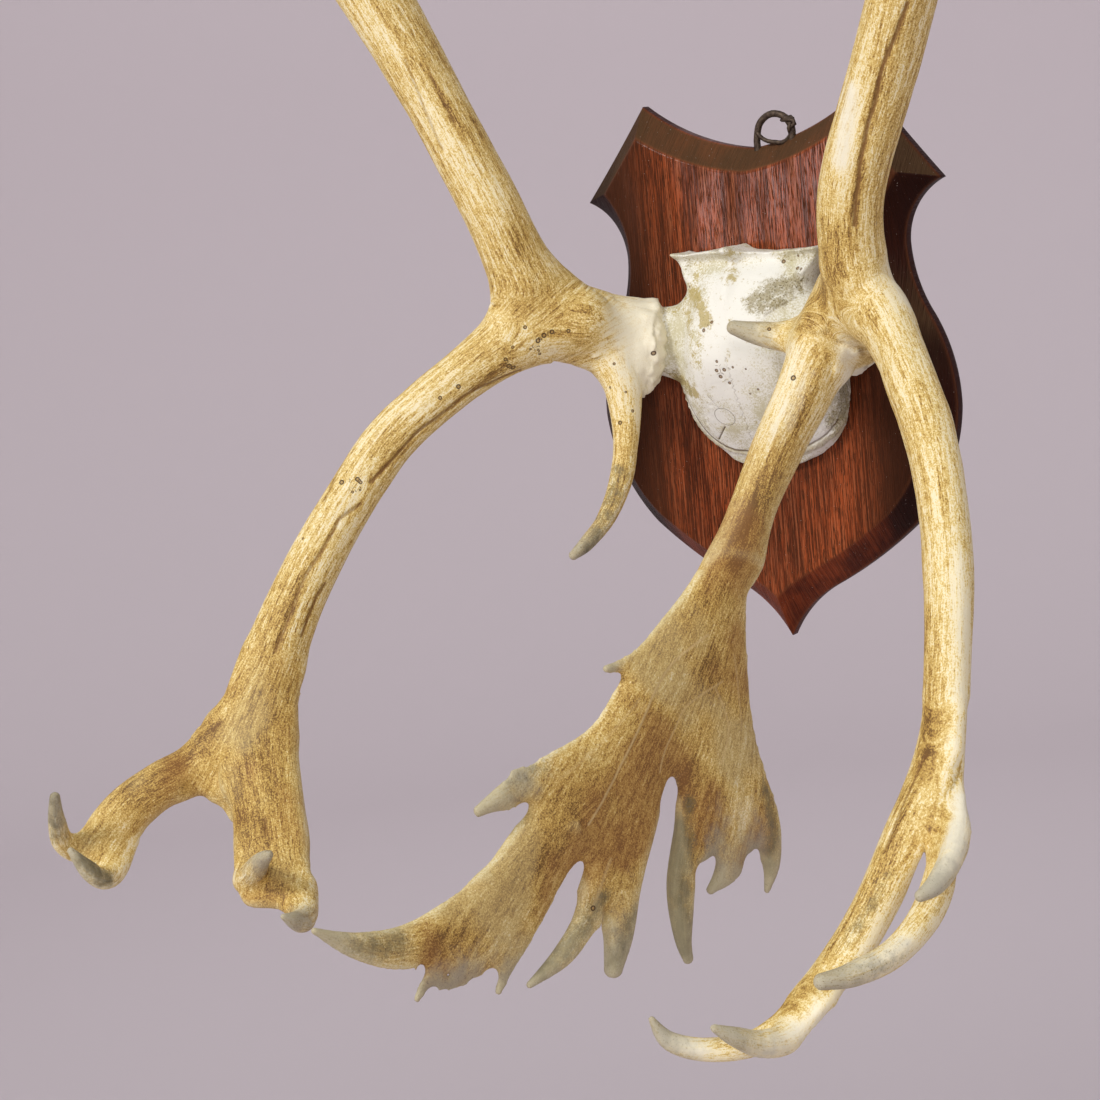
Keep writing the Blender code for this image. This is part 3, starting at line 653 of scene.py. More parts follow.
def left_limbs():
    """The left antler's limbs, the beam first."""
    beam_flat = mirrored_direction(BEAM_FLAT)
    prong_flat = mirrored_direction(PRONG_FLAT)
    beam = Limb(LEFT_BEAM + mirrored(UPPER_BEAM), beam_flat, blunt=4.0)
    bez = Limb(LEFT_BEZ, prong_flat, beam, bare_end=False)
    outer = Limb(LEFT_OUTER_PRONG, prong_flat, bez, fillet=PALM_FILLET, bare_end=False)
    inner = Limb(LEFT_INNER_PRONG, prong_flat, bez, fillet=PALM_FILLET, bare_end=False)
    crotch = Limb(LEFT_CROTCH, prong_flat, bez, fillet=PALM_FILLET, bare_end=False)
    limbs = [beam, bez, Limb(LEFT_BROW, beam_flat, beam), outer, inner, crotch]
    limbs += [Limb(rows, prong_flat, outer) for rows in LEFT_OUTER_TIPS]
    limbs += [Limb(rows, prong_flat, inner) for rows in LEFT_INNER_TIPS]
    return limbs + [Limb(mirrored(rows), beam_flat, beam) for rows in [BACK_TINE, *CROWN_POINTS]]


def right_limbs():
    """The right antler's limbs, the beam first."""
    beam = Limb(RIGHT_BEAM + UPPER_BEAM, BEAM_FLAT, blunt=4.0)
    bez = Limb(RIGHT_BEZ, PRONG_FLAT, beam, bare_end=False)
    outer = Limb(RIGHT_OUTER_PRONG, PRONG_FLAT, bez)
    inner = Limb(RIGHT_INNER_PRONG, PRONG_FLAT, bez, bare_end=False)
    rib = Limb(SHOVEL_RIB, SHOVEL_FLAT, beam, fillet=PALM_FILLET)
    limbs = [beam, bez, Limb(RIGHT_SPUR, BEAM_FLAT, beam), outer, inner]
    limbs += [Limb(rows, PRONG_FLAT, outer) for rows in RIGHT_OUTER_TIPS]
    limbs += [Limb(rows, PRONG_FLAT, inner) for rows in RIGHT_INNER_TIPS]
    limbs += [Limb(rows, BEAM_FLAT, beam) for rows in [BACK_TINE, *CROWN_POINTS]]
    points = [Limb(rows, SHOVEL_FLAT, rib, fillet=PALM_FILLET) for rows in SHOVEL_POINTS]
    return limbs + [rib, *points]


FAN_WIDTH = 150.0            # millimetres that one radian of a fan counts as
LEFT_FAN = ((-190, -205, -30), mirrored_direction(PRONG_FLAT))
RIGHT_FAN = ((85, -108, 20), SHOVEL_FLAT)

# Marks on the antlers, placed by pixels of the photograph. A stroke is a line of
# pixels, its half width in millimetres and its strength. Along the soft strokes the
# skin is evened out.
LEFT_PITS = [
    (526, 327), (551, 332), (544, 335), (538, 341), (568, 331), (513, 347), (531, 349),
    (538, 349), (540, 353), (506, 360), (508, 366), (514, 368), (459, 387), (440, 397),
    (615, 364), (611, 387), (626, 392), (633, 410), (619, 423), (653, 354), (342, 482),
    (357, 479), (360, 483), (353, 493), (361, 490), (303, 538),
]
RIGHT_PITS = [(769, 330), (768, 354), (793, 377), (593, 908)]
LEFT_STAINS = [
    ([(381, 17), (406, 43), (443, 100), (463, 136)], 6, 0.55),
    ([(416, 20), (431, 43), (466, 93), (482, 125)], 4, 0.4),
    ([(509, 243)], 11, 0.75), ([(505, 285), (522, 300)], 13, 0.5),
    ([(560, 320), (578, 332)], 17, 0.55), ([(585, 305)], 10, 0.5),
    ([(480, 360)], 13, 0.4), ([(382, 455), (396, 440)], 9, 0.45),
    ([(628, 425), (622, 470), (612, 510), (590, 540)], 8, 0.75),
    ([(290, 590), (275, 625), (266, 655)], 9, 0.6), ([(255, 680), (245, 700)], 10, 0.5),
    ([(262, 700), (256, 760), (246, 805)], 22, 0.6),
    ([(215, 727), (170, 767), (130, 792)], 9, 0.9),
    ([(248, 815), (262, 860), (290, 898)], 14, 0.8), ([(253, 816)], 8, 0.5),
]
RIGHT_STAINS = [
    ([(905, 30), (890, 120), (878, 215)], 9, 0.5),
    ([(838, 236), (833, 270), (820, 300), (802, 322)], 12, 1.0),
    ([(824, 353), (802, 412), (783, 455), (765, 490), (748, 522), (735, 560)], 7, 1.1),
    ([(720, 590), (690, 622), (660, 650)], 9, 0.45), ([(712, 665), (709, 690)], 11, 0.8),
    ([(688, 772), (684, 790)], 8, 0.9), ([(600, 780), (553, 843), (500, 893)], 15, 0.55),
    ([(470, 923), (440, 945)], 11, 0.6), ([(712, 800), (712, 850)], 12, 0.6),
    ([(757, 800), (762, 850)], 8, 0.5), ([(519, 812)], 5, 0.7),
    ([(660, 740), (640, 800), (610, 850)], 18, 0.35),
    ([(618, 915), (612, 930)], 6, 0.5), ([(915, 385), (925, 430)], 10, 0.4),
    ([(930, 620), (931, 700), (922, 770)], 8, 0.6), ([(939, 820), (935, 850)], 8, 0.6),
    ([(905, 800), (880, 870), (832, 946), (795, 996), (760, 1014)], 9, 0.7),
]
LEFT_BLEACH = [
    ([(650, 350)], 34, 1.0), ([(628, 325)], 26, 0.9), ([(618, 388), (619, 400)], 12, 0.3),
    ([(366, 17), (449, 152), (471, 199)], 7, 0.4), ([(535, 345), (560, 352)], 9, 0.5),
    ([(425, 405), (380, 430), (340, 520)], 9, 0.45), ([(300, 742), (308, 830)], 5, 0.6),
]
RIGHT_BLEACH = [
    ([(790, 350), (800, 372), (772, 430)], 16, 0.6), ([(848, 345), (845, 390)], 10, 0.7),
    ([(745, 335), (770, 335)], 9, 0.35), ([(851, 90), (840, 160)], 9, 0.8),
    ([(893, 262), (905, 300)], 12, 0.7), ([(963, 560), (962, 640), (950, 745)], 8, 0.55),
    ([(962, 800), (955, 850), (935, 885)], 9, 0.9), ([(744, 814)], 18, 0.7),
    ([(905, 945), (870, 968)], 9, 0.7), ([(820, 1015), (770, 1045)], 10, 0.7),
    ([(515, 772), (548, 758)], 10, 0.5),
    ([(700, 1050), (665, 1035)], 7, 0.8),
]
LEFT_GREY = [
    ([(54, 840), (53, 800)], 7, 0.6), ([(105, 880), (85, 860)], 7, 0.8),
    ([(618, 470), (606, 515), (584, 555)], 7, 0.6),
]
RIGHT_GREY = [
    ([(678, 830), (676, 890), (682, 950)], 12, 0.95), ([(518, 775), (540, 765)], 9, 0.4),
    ([(690, 800), (684, 840)], 5, 0.7), ([(766, 790), (774, 830), (768, 870)], 7, 0.7),
    ([(360, 945), (400, 945)], 10, 0.6), ([(600, 900), (575, 940), (540, 970)], 8, 0.75),
    ([(876, 895), (866, 915), (850, 938)], 8, 0.45), ([(632, 920), (618, 960)], 9, 0.6),
    ([(905, 955), (870, 968)], 6, 0.35), ([(885, 880), (870, 905)], 6, 0.4),
]
LEFT_SOFT = [([(206, 775), (214, 790), (222, 804), (231, 822)], 11, 1.0)]
RIGHT_SOFT = [([(700, 872), (706, 864), (714, 862)], 6, 0.8)]
LEFT_GROOVES = [
    ([(520, 370), (470, 392), (443, 414), (420, 430), (384, 469), (370, 482)], 1.5, 0.9),
    ([(505, 366), (457, 401), (436, 420)], 1.2, 0.6),
    ([(361, 505), (340, 518), (335, 528), (322, 551), (303, 579), (290, 615), (276, 650)],
     1.5, 0.7),
    ([(325, 583), (315, 599), (301, 636)], 1.3, 0.8), ([(345, 455), (325, 500)], 1.2, 0.4),
    ([(430, 75), (455, 125)], 1.2, 0.4), ([(405, 60), (425, 110), (442, 150)], 1.2, 0.4),
    ([(264, 820), (268, 850)], 1.4, 0.6), ([(214, 729), (219, 724)], 1.6, 0.5),
]
RIGHT_GROOVES = [
    ([(908, 4), (895, 36), (884, 63), (876, 98), (867, 130), (860, 165), (856, 207), (854, 226)],
     1.6, 1.0),
    # A faint groove beside the first vein; its dark line is a painted shadow of the vein's rib.
    ([(680, 660), (662, 678), (646, 718), (628, 757), (613, 783), (598, 812)], 1.3, 0.2),
    ([(870, 372), (858, 345)], 2.0, 0.5),
    ([(925, 755), (905, 800), (885, 850)], 1.3, 0.6),
]
# Veins: low raised ribs, whose pale colour is a painted highlight of the light they catch.
RIGHT_VEINS = [
    ([(708, 636), (676, 659), (656, 690), (641, 725), (621, 765), (603, 800), (588, 825)],
     1.3, 1.0),
    ([(722, 682), (700, 695), (685, 708), (676, 727), (667, 746), (659, 772)], 1.2, 0.7),
    ([(716, 690), (727, 718), (729, 739), (722, 763)], 1.2, 0.6),
    ([(640, 700), (600, 745), (560, 780)], 1.6, 0.35),
    ([(735, 655), (738, 690), (742, 730)], 1.4, 0.5),
    ([(610, 860), (600, 890), (590, 915)], 1.8, 0.5),
]

# Skull cap. Its outline is in (x, z) from SKULL_X, and its crown and rim are heights by z.
SKULL_X = 7.0
CAP_BACK = -26.3
CAP_CENTRE_Z = 14.0
CAP_OUTLINE = [
    (-2, 80), (10, 78.5), (32, 78.5), (51, 79.5), (48, 71), (44, 60), (46, 50),
    (52, 36), (56, 18), (57, 0), (57, -16), (52, -33), (40, -47), (22, -56),
    (3, -59), (-17, -57.5), (-34, -49), (-46, -35.5), (-52.5, -19), (-53, 0),
    (-52, 18), (-49, 36), (-46, 50), (-45, 60), (-48, 71), (-51, 80.5),
    (-43, 79.5), (-28, 81), (-15, 81.5), (-9, 83.5),
]
CAP_WIDE = math.inf          # the spread of a form that runs right across
CAP_FORMS = [                # height, then place and spread across, and place and spread up
    (6.5, 0.0, CAP_WIDE, 81.0, 3.0), (5.0, -9.0, 6.0, 84.0, 6.0), (-4.5, 0.0, CAP_WIDE, 73.0, 6.0),
]
CAP_HOLLOWS = [              # the same, on both sides of the middle
    (-8.0, 34.0, 9.0, 60.0, 15.0), (-8.0, 46.0, 11.0, 20.0, 24.0),
]
CAP_RIDGE = (2.6, -7.0, 6.0)  # the same across, and RIDGE_RISE says where it sets in
RIDGE_RISE = (40.0, 58.0)
CAP_LEAST = 3.0
CAP_CROWN = [(-58, 8), (-34, 26), (-8, 40), (16, 49), (38, 45), (62, 36), (86, 27)]
CAP_RIM = [(-58, 5), (-30, 7), (20, 14), (60, 12), (86, 20)]
BONE_GRIT_SIZE = 2.4
BONE_GRIT_HEIGHT = 0.06
BONE_WAVE_SIZE = 17.0
BONE_WAVE_HEIGHT = 0.35
BONE_RIM_HEIGHT = 0.8
BONE_PIT_DEPTH = 0.4
BONE_LINE_DEPTH = 0.5
PEDICLE_ROOT = 18
PEDICLE_NECK = 14
PEDICLE_OVERRUN = 4
PEDICLE_RISE = 4
SKULL_PIT_RADIUS = 1.2
SKULL_PITS = [
    (717, 361), (716, 371), (720, 377), (724, 370), (729, 384), (733, 367), (746, 369),
    (750, 394), (758, 390), (712, 322), (704, 330), (784, 261), (797, 268), (801, 269),
    (798, 256), (690, 287), (686, 296),
]
SKULL_FAIR = [
    ([(734, 285), (732, 320), (722, 350), (722, 380)], 16, 1.0), ([(700, 395), (712, 415)], 9, 0.6),
    ([(770, 268), (750, 280)], 9, 0.7), ([(820, 425), (812, 440)], 9, 0.9),
]
SKULL_YELLOW = [
    ([(729, 255), (731, 278)], 5, 0.8), ([(692, 292), (704, 308), (706, 322)], 5, 1.1),
    ([(686, 300), (692, 340)], 6, 0.6), ([(676, 378), (694, 392)], 6, 1.0),
    ([(700, 335), (695, 360)], 6, 0.4), ([(700, 275), (698, 290)], 6, 0.5),
    ([(664, 312), (680, 308)], 5, 0.5),
]
SKULL_GREY = [
    ([(755, 302), (772, 290), (795, 283)], 9, 1.0), ([(760, 308), (780, 300)], 6, 0.9),
    ([(843, 385), (846, 405), (835, 420)], 8, 1.0), ([(686, 262), (684, 290)], 4, 0.5),
    ([(668, 372), (690, 390)], 5, 0.6), ([(712, 400), (705, 425)], 5, 0.35),
    ([(790, 256), (805, 254)], 6, 0.5),
]
SKULL_RIM = [
    ([(676, 389), (693, 416), (706, 436), (726, 448), (753, 455)], 2.2, 0.8),
    ([(802, 453), (827, 440), (844, 421)], 3.2, 1.0),
]
# Dark lines on the bone. The first two run along the cap's lower edge: a painted shadow of the gap
# against the board.
SKULL_LINES_AND_EDGE_SHADOW = [
    ([(684, 396), (700, 423), (716, 441), (734, 450), (753, 452)], 1.2, 1.2),
    ([(800, 449), (824, 437), (838, 420)], 1.3, 1.2),
    ([(725, 427), (719, 440)], 0.7, 1.25), ([(765, 315), (795, 297)], 1.1, 0.35),
    ([(708, 396), (714, 407), (720, 409)], 0.5, 0.4),
]
SUTURE = [(725, 358), (730, 376), (735, 394), (745, 418), (752, 440)]
SUTURE_WIDTH = 0.45
SUTURE_STRENGTH = 0.4
RING_CENTRE = (725, 417)
RING_RADIUS = 9.4
RING_WIDTH = 0.45            # millimetres

# Plaque
PLAQUE_THICKNESS = 26.0
PLAQUE_EDGE = 8.0
CHAMFER_INSET = 14.5
PEAK = (79.0, 174.0)
CORNER = (126.0, 115.0)
WAIST = (100.0, 77.0)
BELLY = (127.0, -26.0)
TIP = (0.0, -174.0)
TOP_DIP = (0.0, 142.0)
TOP_BOW = -6.0
SHOULDER_BOW = -0.6
FLANK_ARCS = [               # down from the corner: each arc's end, its bow and its points
    (WAIST, -7.0, 30), ((113.0, 32.0), -3.0, 30), (BELLY, 4.0, 38), ((94.0, -99.0), 7.0, 50),
    ((36.0, -139.0), 2.0, 44), (TIP, -4.0, 32),
]
EDGE_RINGS = [               # each ring's share of the way in over the chamfer, and its depth
    (0.0, 0.6), (0.0, 2.5), (0.0, 5.0), (0.0, 7.2), (0.012, 7.9), (0.05, 8.9),
]
FACE_MIDDLE = (0.0, 75.0)    # the whole outline is in sight from here

# Wire hanging loop, and the tail's way before and after the part where it is wound
WIRE_RADIUS = 2.2
STRAND_RADIUS = WIRE_RADIUS * 0.62
WOUND_PART = (0.62, 0.88)    # the part of the loop that the strand is wound round
WOUND_TURN = (0.4, 7.0)
LOOP_Y = -9.0
TAIL_ROUTE = [
    (4.5, -10.5, 151.0), (7.5, -11.5, 148.0), (12.0, -12.0, 145.5), (17.5, -12.0, 144.5),
    (23.0, -11.5, 144.0),
]
CURL_ROUTE = [
    (28.0, -11.5, 157.5), (30.5, -11.0, 157.0), (31.0, -10.5, 154.5), (29.0, -11.0, 153.5),
]
LOOP_ROUTE = [
    (3.0, 136.0), (3.0, 142.0), (3.2, 148.0), (6.0, 157.0), (14.0, 162.0),
    (23.0, 160.0), (28.0, 153.0), (28.0, 146.0), (28.0, 138.0),
]


def view_axes():
    """The camera's right, up and forward directions."""
    yaw, pitch, roll = (math.radians(turn) for turn in (CAMERA_YAW, CAMERA_PITCH, CAMERA_ROLL))
    forward = np.array((-math.sin(yaw) * math.cos(pitch), math.cos(yaw) * math.cos(pitch),
                        math.sin(pitch)))
    level = np.array((math.cos(yaw), math.sin(yaw), 0.0))
    rise = np.cross(level, forward)
    right = math.cos(roll) * level + math.sin(roll) * rise
    up = math.cos(roll) * rise - math.sin(roll) * level
    return right, up, forward


def in_photo(points):
    """Where points fall in the photograph, in its pixels, and how far off they are."""
    right, up, forward = view_axes()
    offset = points - np.array(CAMERA_PLACE) / MM
    depth = offset @ forward
    x = PHOTO_SIZE / 2 + FOCAL_PIXELS * (offset @ right) / depth
    y = PHOTO_SIZE / 2 - FOCAL_PIXELS * (offset @ up) / depth
    return np.stack((x, y), axis=1), depth


class Seen:
    """What the photograph sees of a skin, to find the points that lie under its pixels."""

    NEAR_PIXELS = 4.0
    DEPTH_ROOM = 8.0
    STEP_PIXELS = 6.0

    def __init__(self, skin):
        toward = np.array(CAMERA_PLACE) / MM - skin.points
        facing = (skin.normals() * toward).sum(1) > 0
        self.points = skin.points[facing]
        self.places, self.depth = in_photo(self.points)

    def under(self, pixel):
        """The skin's point under a pixel, or the nearest one to it."""
        gap = np.linalg.norm(self.places - pixel, axis=1)
        close = gap < max(self.NEAR_PIXELS, gap.min() + 0.5)
        front = self.depth[close].min()
        cost = np.where(close & (self.depth < front + self.DEPTH_ROOM), gap, FAR)
        return self.points[cost.argmin()]

    def line(self, pixels):
        """A smooth line on the skin along pixels."""
        pixels = np.array(pixels, float)
        if len(pixels) > 1:
            count = max(3, int(run_along(pixels)[-1] / self.STEP_PIXELS))
            pixels = along(pixels, np.linspace(0, len(pixels) - 1, count))
        line = np.array([self.under(pixel) for pixel in pixels])
        for _ in range(3):
            line[1:-1] = 0.5 * line[1:-1] + 0.25 * (line[:-2] + line[2:])
        return line


def from_line(points, line):
    """Offsets to points from the nearest place on a line of one or more points."""
    best = points - line[0]
    for start, end in zip(line, line[1:]):
        run = end - start
        part = np.clip(((points - start) @ run) / max(run @ run, 1e-6), 0, 1)
        offset = points - start - part[:, None] * run
        nearer = (offset ** 2).sum(1) < (best ** 2).sum(1)
        best[nearer] = offset[nearer]
    return best


class Trace:
    """Strokes drawn on a skin: each point's offset from the nearest one, in stroke widths.

    Strength says how much that stroke counts, and fades to 0 from 3 to 5 widths away.
    """

    def __init__(self, skin, lines):
        count = len(skin.points)
        self.offset = np.full((count, 3), 9.0)
        self.gap = np.full(count, 9.0)
        self.strength = np.zeros(count)
        for line, width, strength in lines:
            low, high = line.min(0) - 5 * width, line.max(0) + 5 * width
            close = np.nonzero(((skin.points > low) & (skin.points < high)).all(1))[0]
            offset = from_line(skin.points[close], line) / width
            gap = np.linalg.norm(offset, axis=1)
            nearer = gap < self.gap[close]
            part = close[nearer]
            self.offset[part] = offset[nearer]
            self.gap[part] = gap[nearer]
            self.strength[part] = strength * (1 - eased(3.0, 5.0, gap[nearer]))

    def depth(self):
        return self.strength * bell(self.gap, 0.0, 1.0)


def strokes_on(seen, strokes):
    """Strokes of pixels as lines on the skin."""
    return [(seen.line(pixels), width, strength) for pixels, width, strength in strokes]


def pits_on(seen, pixels, radius):
    """Round pits of uneven sizes as strokes of one point."""
    return [(seen.line([pixel]), radius * (0.8 + 0.3 * math.sin(7.0 * number)), 1.0)
            for number, pixel in enumerate(pixels)]


def painted(skin, seen, strokes):
    """How strongly strokes reach each point: the most of strength * exp(-(d / width) ** 2)."""
    total = np.zeros(len(skin.points))
    for line, width, strength in strokes_on(seen, strokes):
        reach = 3 * width + 2
        close = ((skin.points > line.min(0) - reach) & (skin.points < line.max(0) + reach)).all(1)
        distance = np.linalg.norm(from_line(skin.points[close], line), axis=1)
        total[close] = np.maximum(total[close], strength * bell(distance, 0.0, width))
    return total


def palm_smoothed(skin, limbs):
    """Evens out the flat faces where several limbs merge, and says where they are."""
    blend = Blend(skin.points, limbs)
    merged = eased(*PALM_SHARED, skin.evened(blend.shared, 60))
    faces = eased(*PALM_FACING, np.abs((skin.normals() * blend.through).sum(1)))
    skin.smooth(PALM_ROUNDS, 0.5, skin.evened(merged * faces, 4))
    return skin.evened(merged, 20)


def fanned(points, apex, flat):
    """Coordinates for streaks that spread from an apex within a flat palm: turn and radius."""
    along_palm = np.cross((0.0, 0.0, 1.0), unit(np.array(flat)))
    offset = points - apex
    across = offset @ along_palm
    turn = np.arctan2(across, -offset[:, 2])
    radius = np.hypot(across, offset[:, 2])
    return np.stack((turn * FAN_WIDTH, np.zeros(len(points)), radius), axis=1)


def antler_piece(side, limbs, voxel, marks):
    """One antler: its skin, its small relief and the numbers that its finish is painted by."""
    skin = fused_skin(limbs, voxel)
    palm = palm_smoothed(skin, limbs)
    skin.smooth(SOFT_ROUNDS, 0.5, painted(skin, Seen(skin), marks["soft"]))
    blend = Blend(skin.points, limbs)
    seen = Seen(skin)
    grain = blend.grain
    from_burr = np.linalg.norm(skin.points - limbs[0].centre[1], axis=1)
    worn = np.exp(-np.maximum(blend.from_tip, 0) / WORN_REACH)
    bleach = np.maximum(painted(skin, seen, marks["bleach"]), 1 - eased(*BURR_BLEACH, from_burr))
    grey = painted(skin, seen, marks["grey"])
    stain = painted(skin, seen, marks["stains"])
    grooves = Trace(skin, strokes_on(seen, marks["grooves"]))
    veins = Trace(skin, strokes_on(seen, marks["veins"]))
    pits = Trace(skin, pits_on(seen, marks["pits"], PIT_RADIUS))
    bulge = skin.evened(skin.bulge(), 2)
    bulge *= 1 - eased(CALM_HEIGHT - BULGE_FADE, CALM_HEIGHT, skin.points[:, 2])

    calm = (1 - eased(0.35, 1.0, worn)) * (1 - 0.8 * palm)
    flutes = FLUTE_HEIGHT * fractal(grain / np.array(FLUTE_SIZE), 3, 11)
    ripples = RIPPLE_HEIGHT * fractal(grain / np.array(RIPPLE_SIZE), 2, 23)
    lumps = LUMP_HEIGHT * fractal(skin.points / LUMP_SIZE, 2, 37)
    relief = (flutes + ripples) * (0.15 + 0.85 * calm) + lumps + burr_relief(skin, limbs[0])
    relief += VEIN_HEIGHT * veins.depth() - GROOVE_DEPTH * grooves.depth()
    skin.push(relief - PIT_DEPTH * pits.depth())

    body = skin.evened(blend.palmate, 12)
    return new_piece(
        f"{side}_antler", skin, "antler_rind", grain=grain, tone=(stain, bleach, worn),
        state=(grey, bulge, palm), near=(pits.strength, grooves.strength, veins.strength),
        body=(body,) * 3, fan=fanned(skin.points, *marks["fan"]), pit=pits.offset,
        groove=grooves.offset, vein=veins.offset)


def burr_relief(skin, beam):
    """The burr: a coronet of pearls round the antler's foot, ragged along its lower edge."""
    found = beside(skin.points, beam)
    turn = np.arctan2(found["depth"], found["side"])
    near = found["distance"] < BURR_REACH
    band = bell(found["run"], BURR_RUN, BURR_SPREAD)
    ring = np.stack((np.cos(turn) * PEARL_TURNS, np.sin(turn) * PEARL_TURNS,
                     found["run"] / PEARL_SIZE), axis=1)
    pearls = fractal(ring, 3, 51)
    swell = bell(found["run"], NECK_RUN, NECK_SPREAD) * fractal(skin.points / NECK_LUMP_SIZE, 2, 57)
    return near * (band * (0.9 + PEARL_HEIGHT * pearls) + NECK_LUMP_HEIGHT * swell)


def new_object(name, points, triangles, finish):
    """A smooth object at the origin, its place in its mesh."""
    mesh = write_mesh(name, points, triangles)
    mesh.shade_smooth()
    mesh.materials.append(FINISHES[finish])
    item = bpy.data.objects.new(name, mesh)
    bpy.context.scene.collection.objects.link(item)
    return item


def new_piece(name, skin, finish, **attributes):
    """A finished piece, with the numbers that its finish is painted by.

    An attribute holds three numbers a point, given as an array or as three rows.
    """
    item = new_object(name, skin.points, skin.triangles, finish)
    for title, values in attributes.items():
        if isinstance(values, tuple):
            values = np.stack(values, axis=1)
        attribute = item.data.attributes.new(title, "FLOAT_VECTOR", "POINT")
        attribute.data.foreach_set("vector", values.astype(np.float32).ravel())
    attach(item, "root")
    return item


def smooth_table(rows, places):
    """Values of a table of (place, value) rows, on a Catmull-Rom curve through them."""
    rows = np.array(rows, float)
    fine = along(rows, np.linspace(0, len(rows) - 1, 200))
    return np.interp(places, fine[:, 0], fine[:, 1])


def cap_reach(turn):
    """How far the cap's outline is from its middle, for each turn round it."""
    closed = np.array(CAP_OUTLINE[-2:] + CAP_OUTLINE + CAP_OUTLINE[:3], float)
    fine = along(closed, np.linspace(2, len(CAP_OUTLINE) + 2, 900))
    across, rise = fine[:, 0], fine[:, 1] - CAP_CENTRE_Z
    angle = np.unwrap(np.arctan2(across, rise))
    reach = np.hypot(across, rise)
    order = np.argsort(angle % (2 * np.pi))
    return np.interp(turn % (2 * np.pi), (angle % (2 * np.pi))[order], reach[order],
                     period=2 * np.pi)


def cap_shape():
    """The domed bone as a closed grid of turn and share.

    At a share of the outline the bone stands rim + (crown - rim) * sqrt(1 - share ** 3)
    off its back, where rim and crown fall along the cap's length. The crest's lip, its
    bump and the hollows beside it are added to that height as bells across and up, and
    the ridge below it as a bell across.
    """
    turns = 2 * np.pi * np.arange(300) / 300
    shares = np.sin(np.linspace(0.03, 1, 60) * np.pi / 2)
    reach = cap_reach(turns) + 0.5 * fractal(
        np.stack((np.cos(turns) * 9, np.sin(turns) * 9, np.zeros(300)), axis=1), 3, 5)
    across = np.sin(turns) * reach
    rise = np.cos(turns) * reach
    x = SKULL_X + shares[:, None] * across
    z = CAP_CENTRE_Z + shares[:, None] * rise
    rim = smooth_table(CAP_RIM, z)
    crown = smooth_table(CAP_CROWN, z)
    height = rim + (crown - rim) * np.sqrt(1 - np.minimum(shares, 0.9999)[:, None] ** 3)
    side = x - SKULL_X
    for forms, aside in ((CAP_FORMS, side), (CAP_HOLLOWS, np.abs(side))):
        for swell, place, spread, level, fall in forms:
            height += swell * bell(aside, place, spread) * bell(z, level, fall)
    swell, place, spread = CAP_RIDGE
    height += swell * bell(side, place, spread) * eased(*RIDGE_RISE, z)
    height = np.maximum(height, CAP_LEAST)
    front = np.stack((x, CAP_BACK - height, z), axis=-1)
    back = np.stack((x, np.full_like(x, CAP_BACK), z), axis=-1)
    middle = float(smooth_table(CAP_CROWN, CAP_CENTRE_Z))
    poles = [(SKULL_X, CAP_BACK - middle, CAP_CENTRE_Z), (SKULL_X, CAP_BACK, CAP_CENTRE_Z)]
    rings = np.concatenate((front, back[::-1]))
    points = np.concatenate((rings.reshape(-1, 3), poles))
    return points, closed_grid(len(rings), len(turns))


def pedicle(beam_rows, outward, flat):
    """The bone stump that runs from inside the cap into the burr."""
    beam = Limb(beam_rows, flat)
    root, forward = beam.centre[0], beam.forward[0]
    root = root + (0.0, 0.0, PEDICLE_RISE)
    neck = root - forward * PEDICLE_NECK
    end = root + forward * PEDICLE_OVERRUN
    rows = [(SKULL_X + outward * PEDICLE_ROOT, neck[1], neck[2], 46, 20),
            (0.4 * (SKULL_X + outward * PEDICLE_ROOT) + 0.6 * neck[0], neck[1], neck[2], 33, 17.5),
            (*neck, 25, 14), (*end, 23, 13)]
    return Limb(rows, (0.0, 1.0, 0.0))


def skull_piece():
    """The sawn-off skull cap with its two antler stumps."""
    left = pedicle(LEFT_BEAM, -1, mirrored_direction(BEAM_FLAT))
    right = pedicle(RIGHT_BEAM, 1, BEAM_FLAT)
    skin = Skin(*fused([cap_shape(), tube(left, 40), tube(right, 40)], SKULL_VOXEL))
    back = skin.points[:, 1] > CAP_BACK - 1.0
    side = np.abs(skin.points[:, 0] - SKULL_X)
    throat = eased(26.0, 40.0, side) * (1 - eased(50.0, 66.0, skin.points[:, 2])) * ~back
    skin.smooth(2, 0.4, ~back)
    skin.smooth(THROAT_ROUNDS, 0.5, throat)

    seen = Seen(skin)
    rim = painted(skin, seen, SKULL_RIM)
    yellow = painted(skin, seen, SKULL_YELLOW)
    grey = painted(skin, seen, SKULL_GREY)
    pits = Trace(skin, pits_on(seen, SKULL_PITS, SKULL_PIT_RADIUS))
    suture = (suture_line(seen), SUTURE_WIDTH, SUTURE_STRENGTH)
    lines = Trace(skin, strokes_on(seen, SKULL_LINES_AND_EDGE_SHADOW) + [suture])
    grit = fractal(skin.points / BONE_GRIT_SIZE, 3, 71)
    waves = fractal(skin.points / BONE_WAVE_SIZE, 2, 73)
    relief = BONE_WAVE_HEIGHT * waves + BONE_GRIT_HEIGHT * grit + BONE_RIM_HEIGHT * rim
    relief += 0.5 * (rim + grey) * grit
    relief -= BONE_PIT_DEPTH * pits.depth() + BONE_LINE_DEPTH * lines.depth()
    skin.push(relief * ~back)

    return new_piece(
        "skull_bone", skin, "skull_bone", tone=(yellow, grey, rim), pit=pits.offset,
        line=lines.offset, near=(pits.strength, lines.strength, off_circle(skin, seen)),
        fair=(painted(skin, seen, SKULL_FAIR),) * 3)


def suture_line(seen):
    """A fine seam that wanders from side to side along its way."""
    line = seen.line(SUTURE)
    fine = along(line, np.linspace(0, len(line) - 1, 70))
    fine[:, 0] += np.sin(np.arange(70) * 1.55) * np.cos(np.arange(70) * 0.31) * 1.2
    return fine


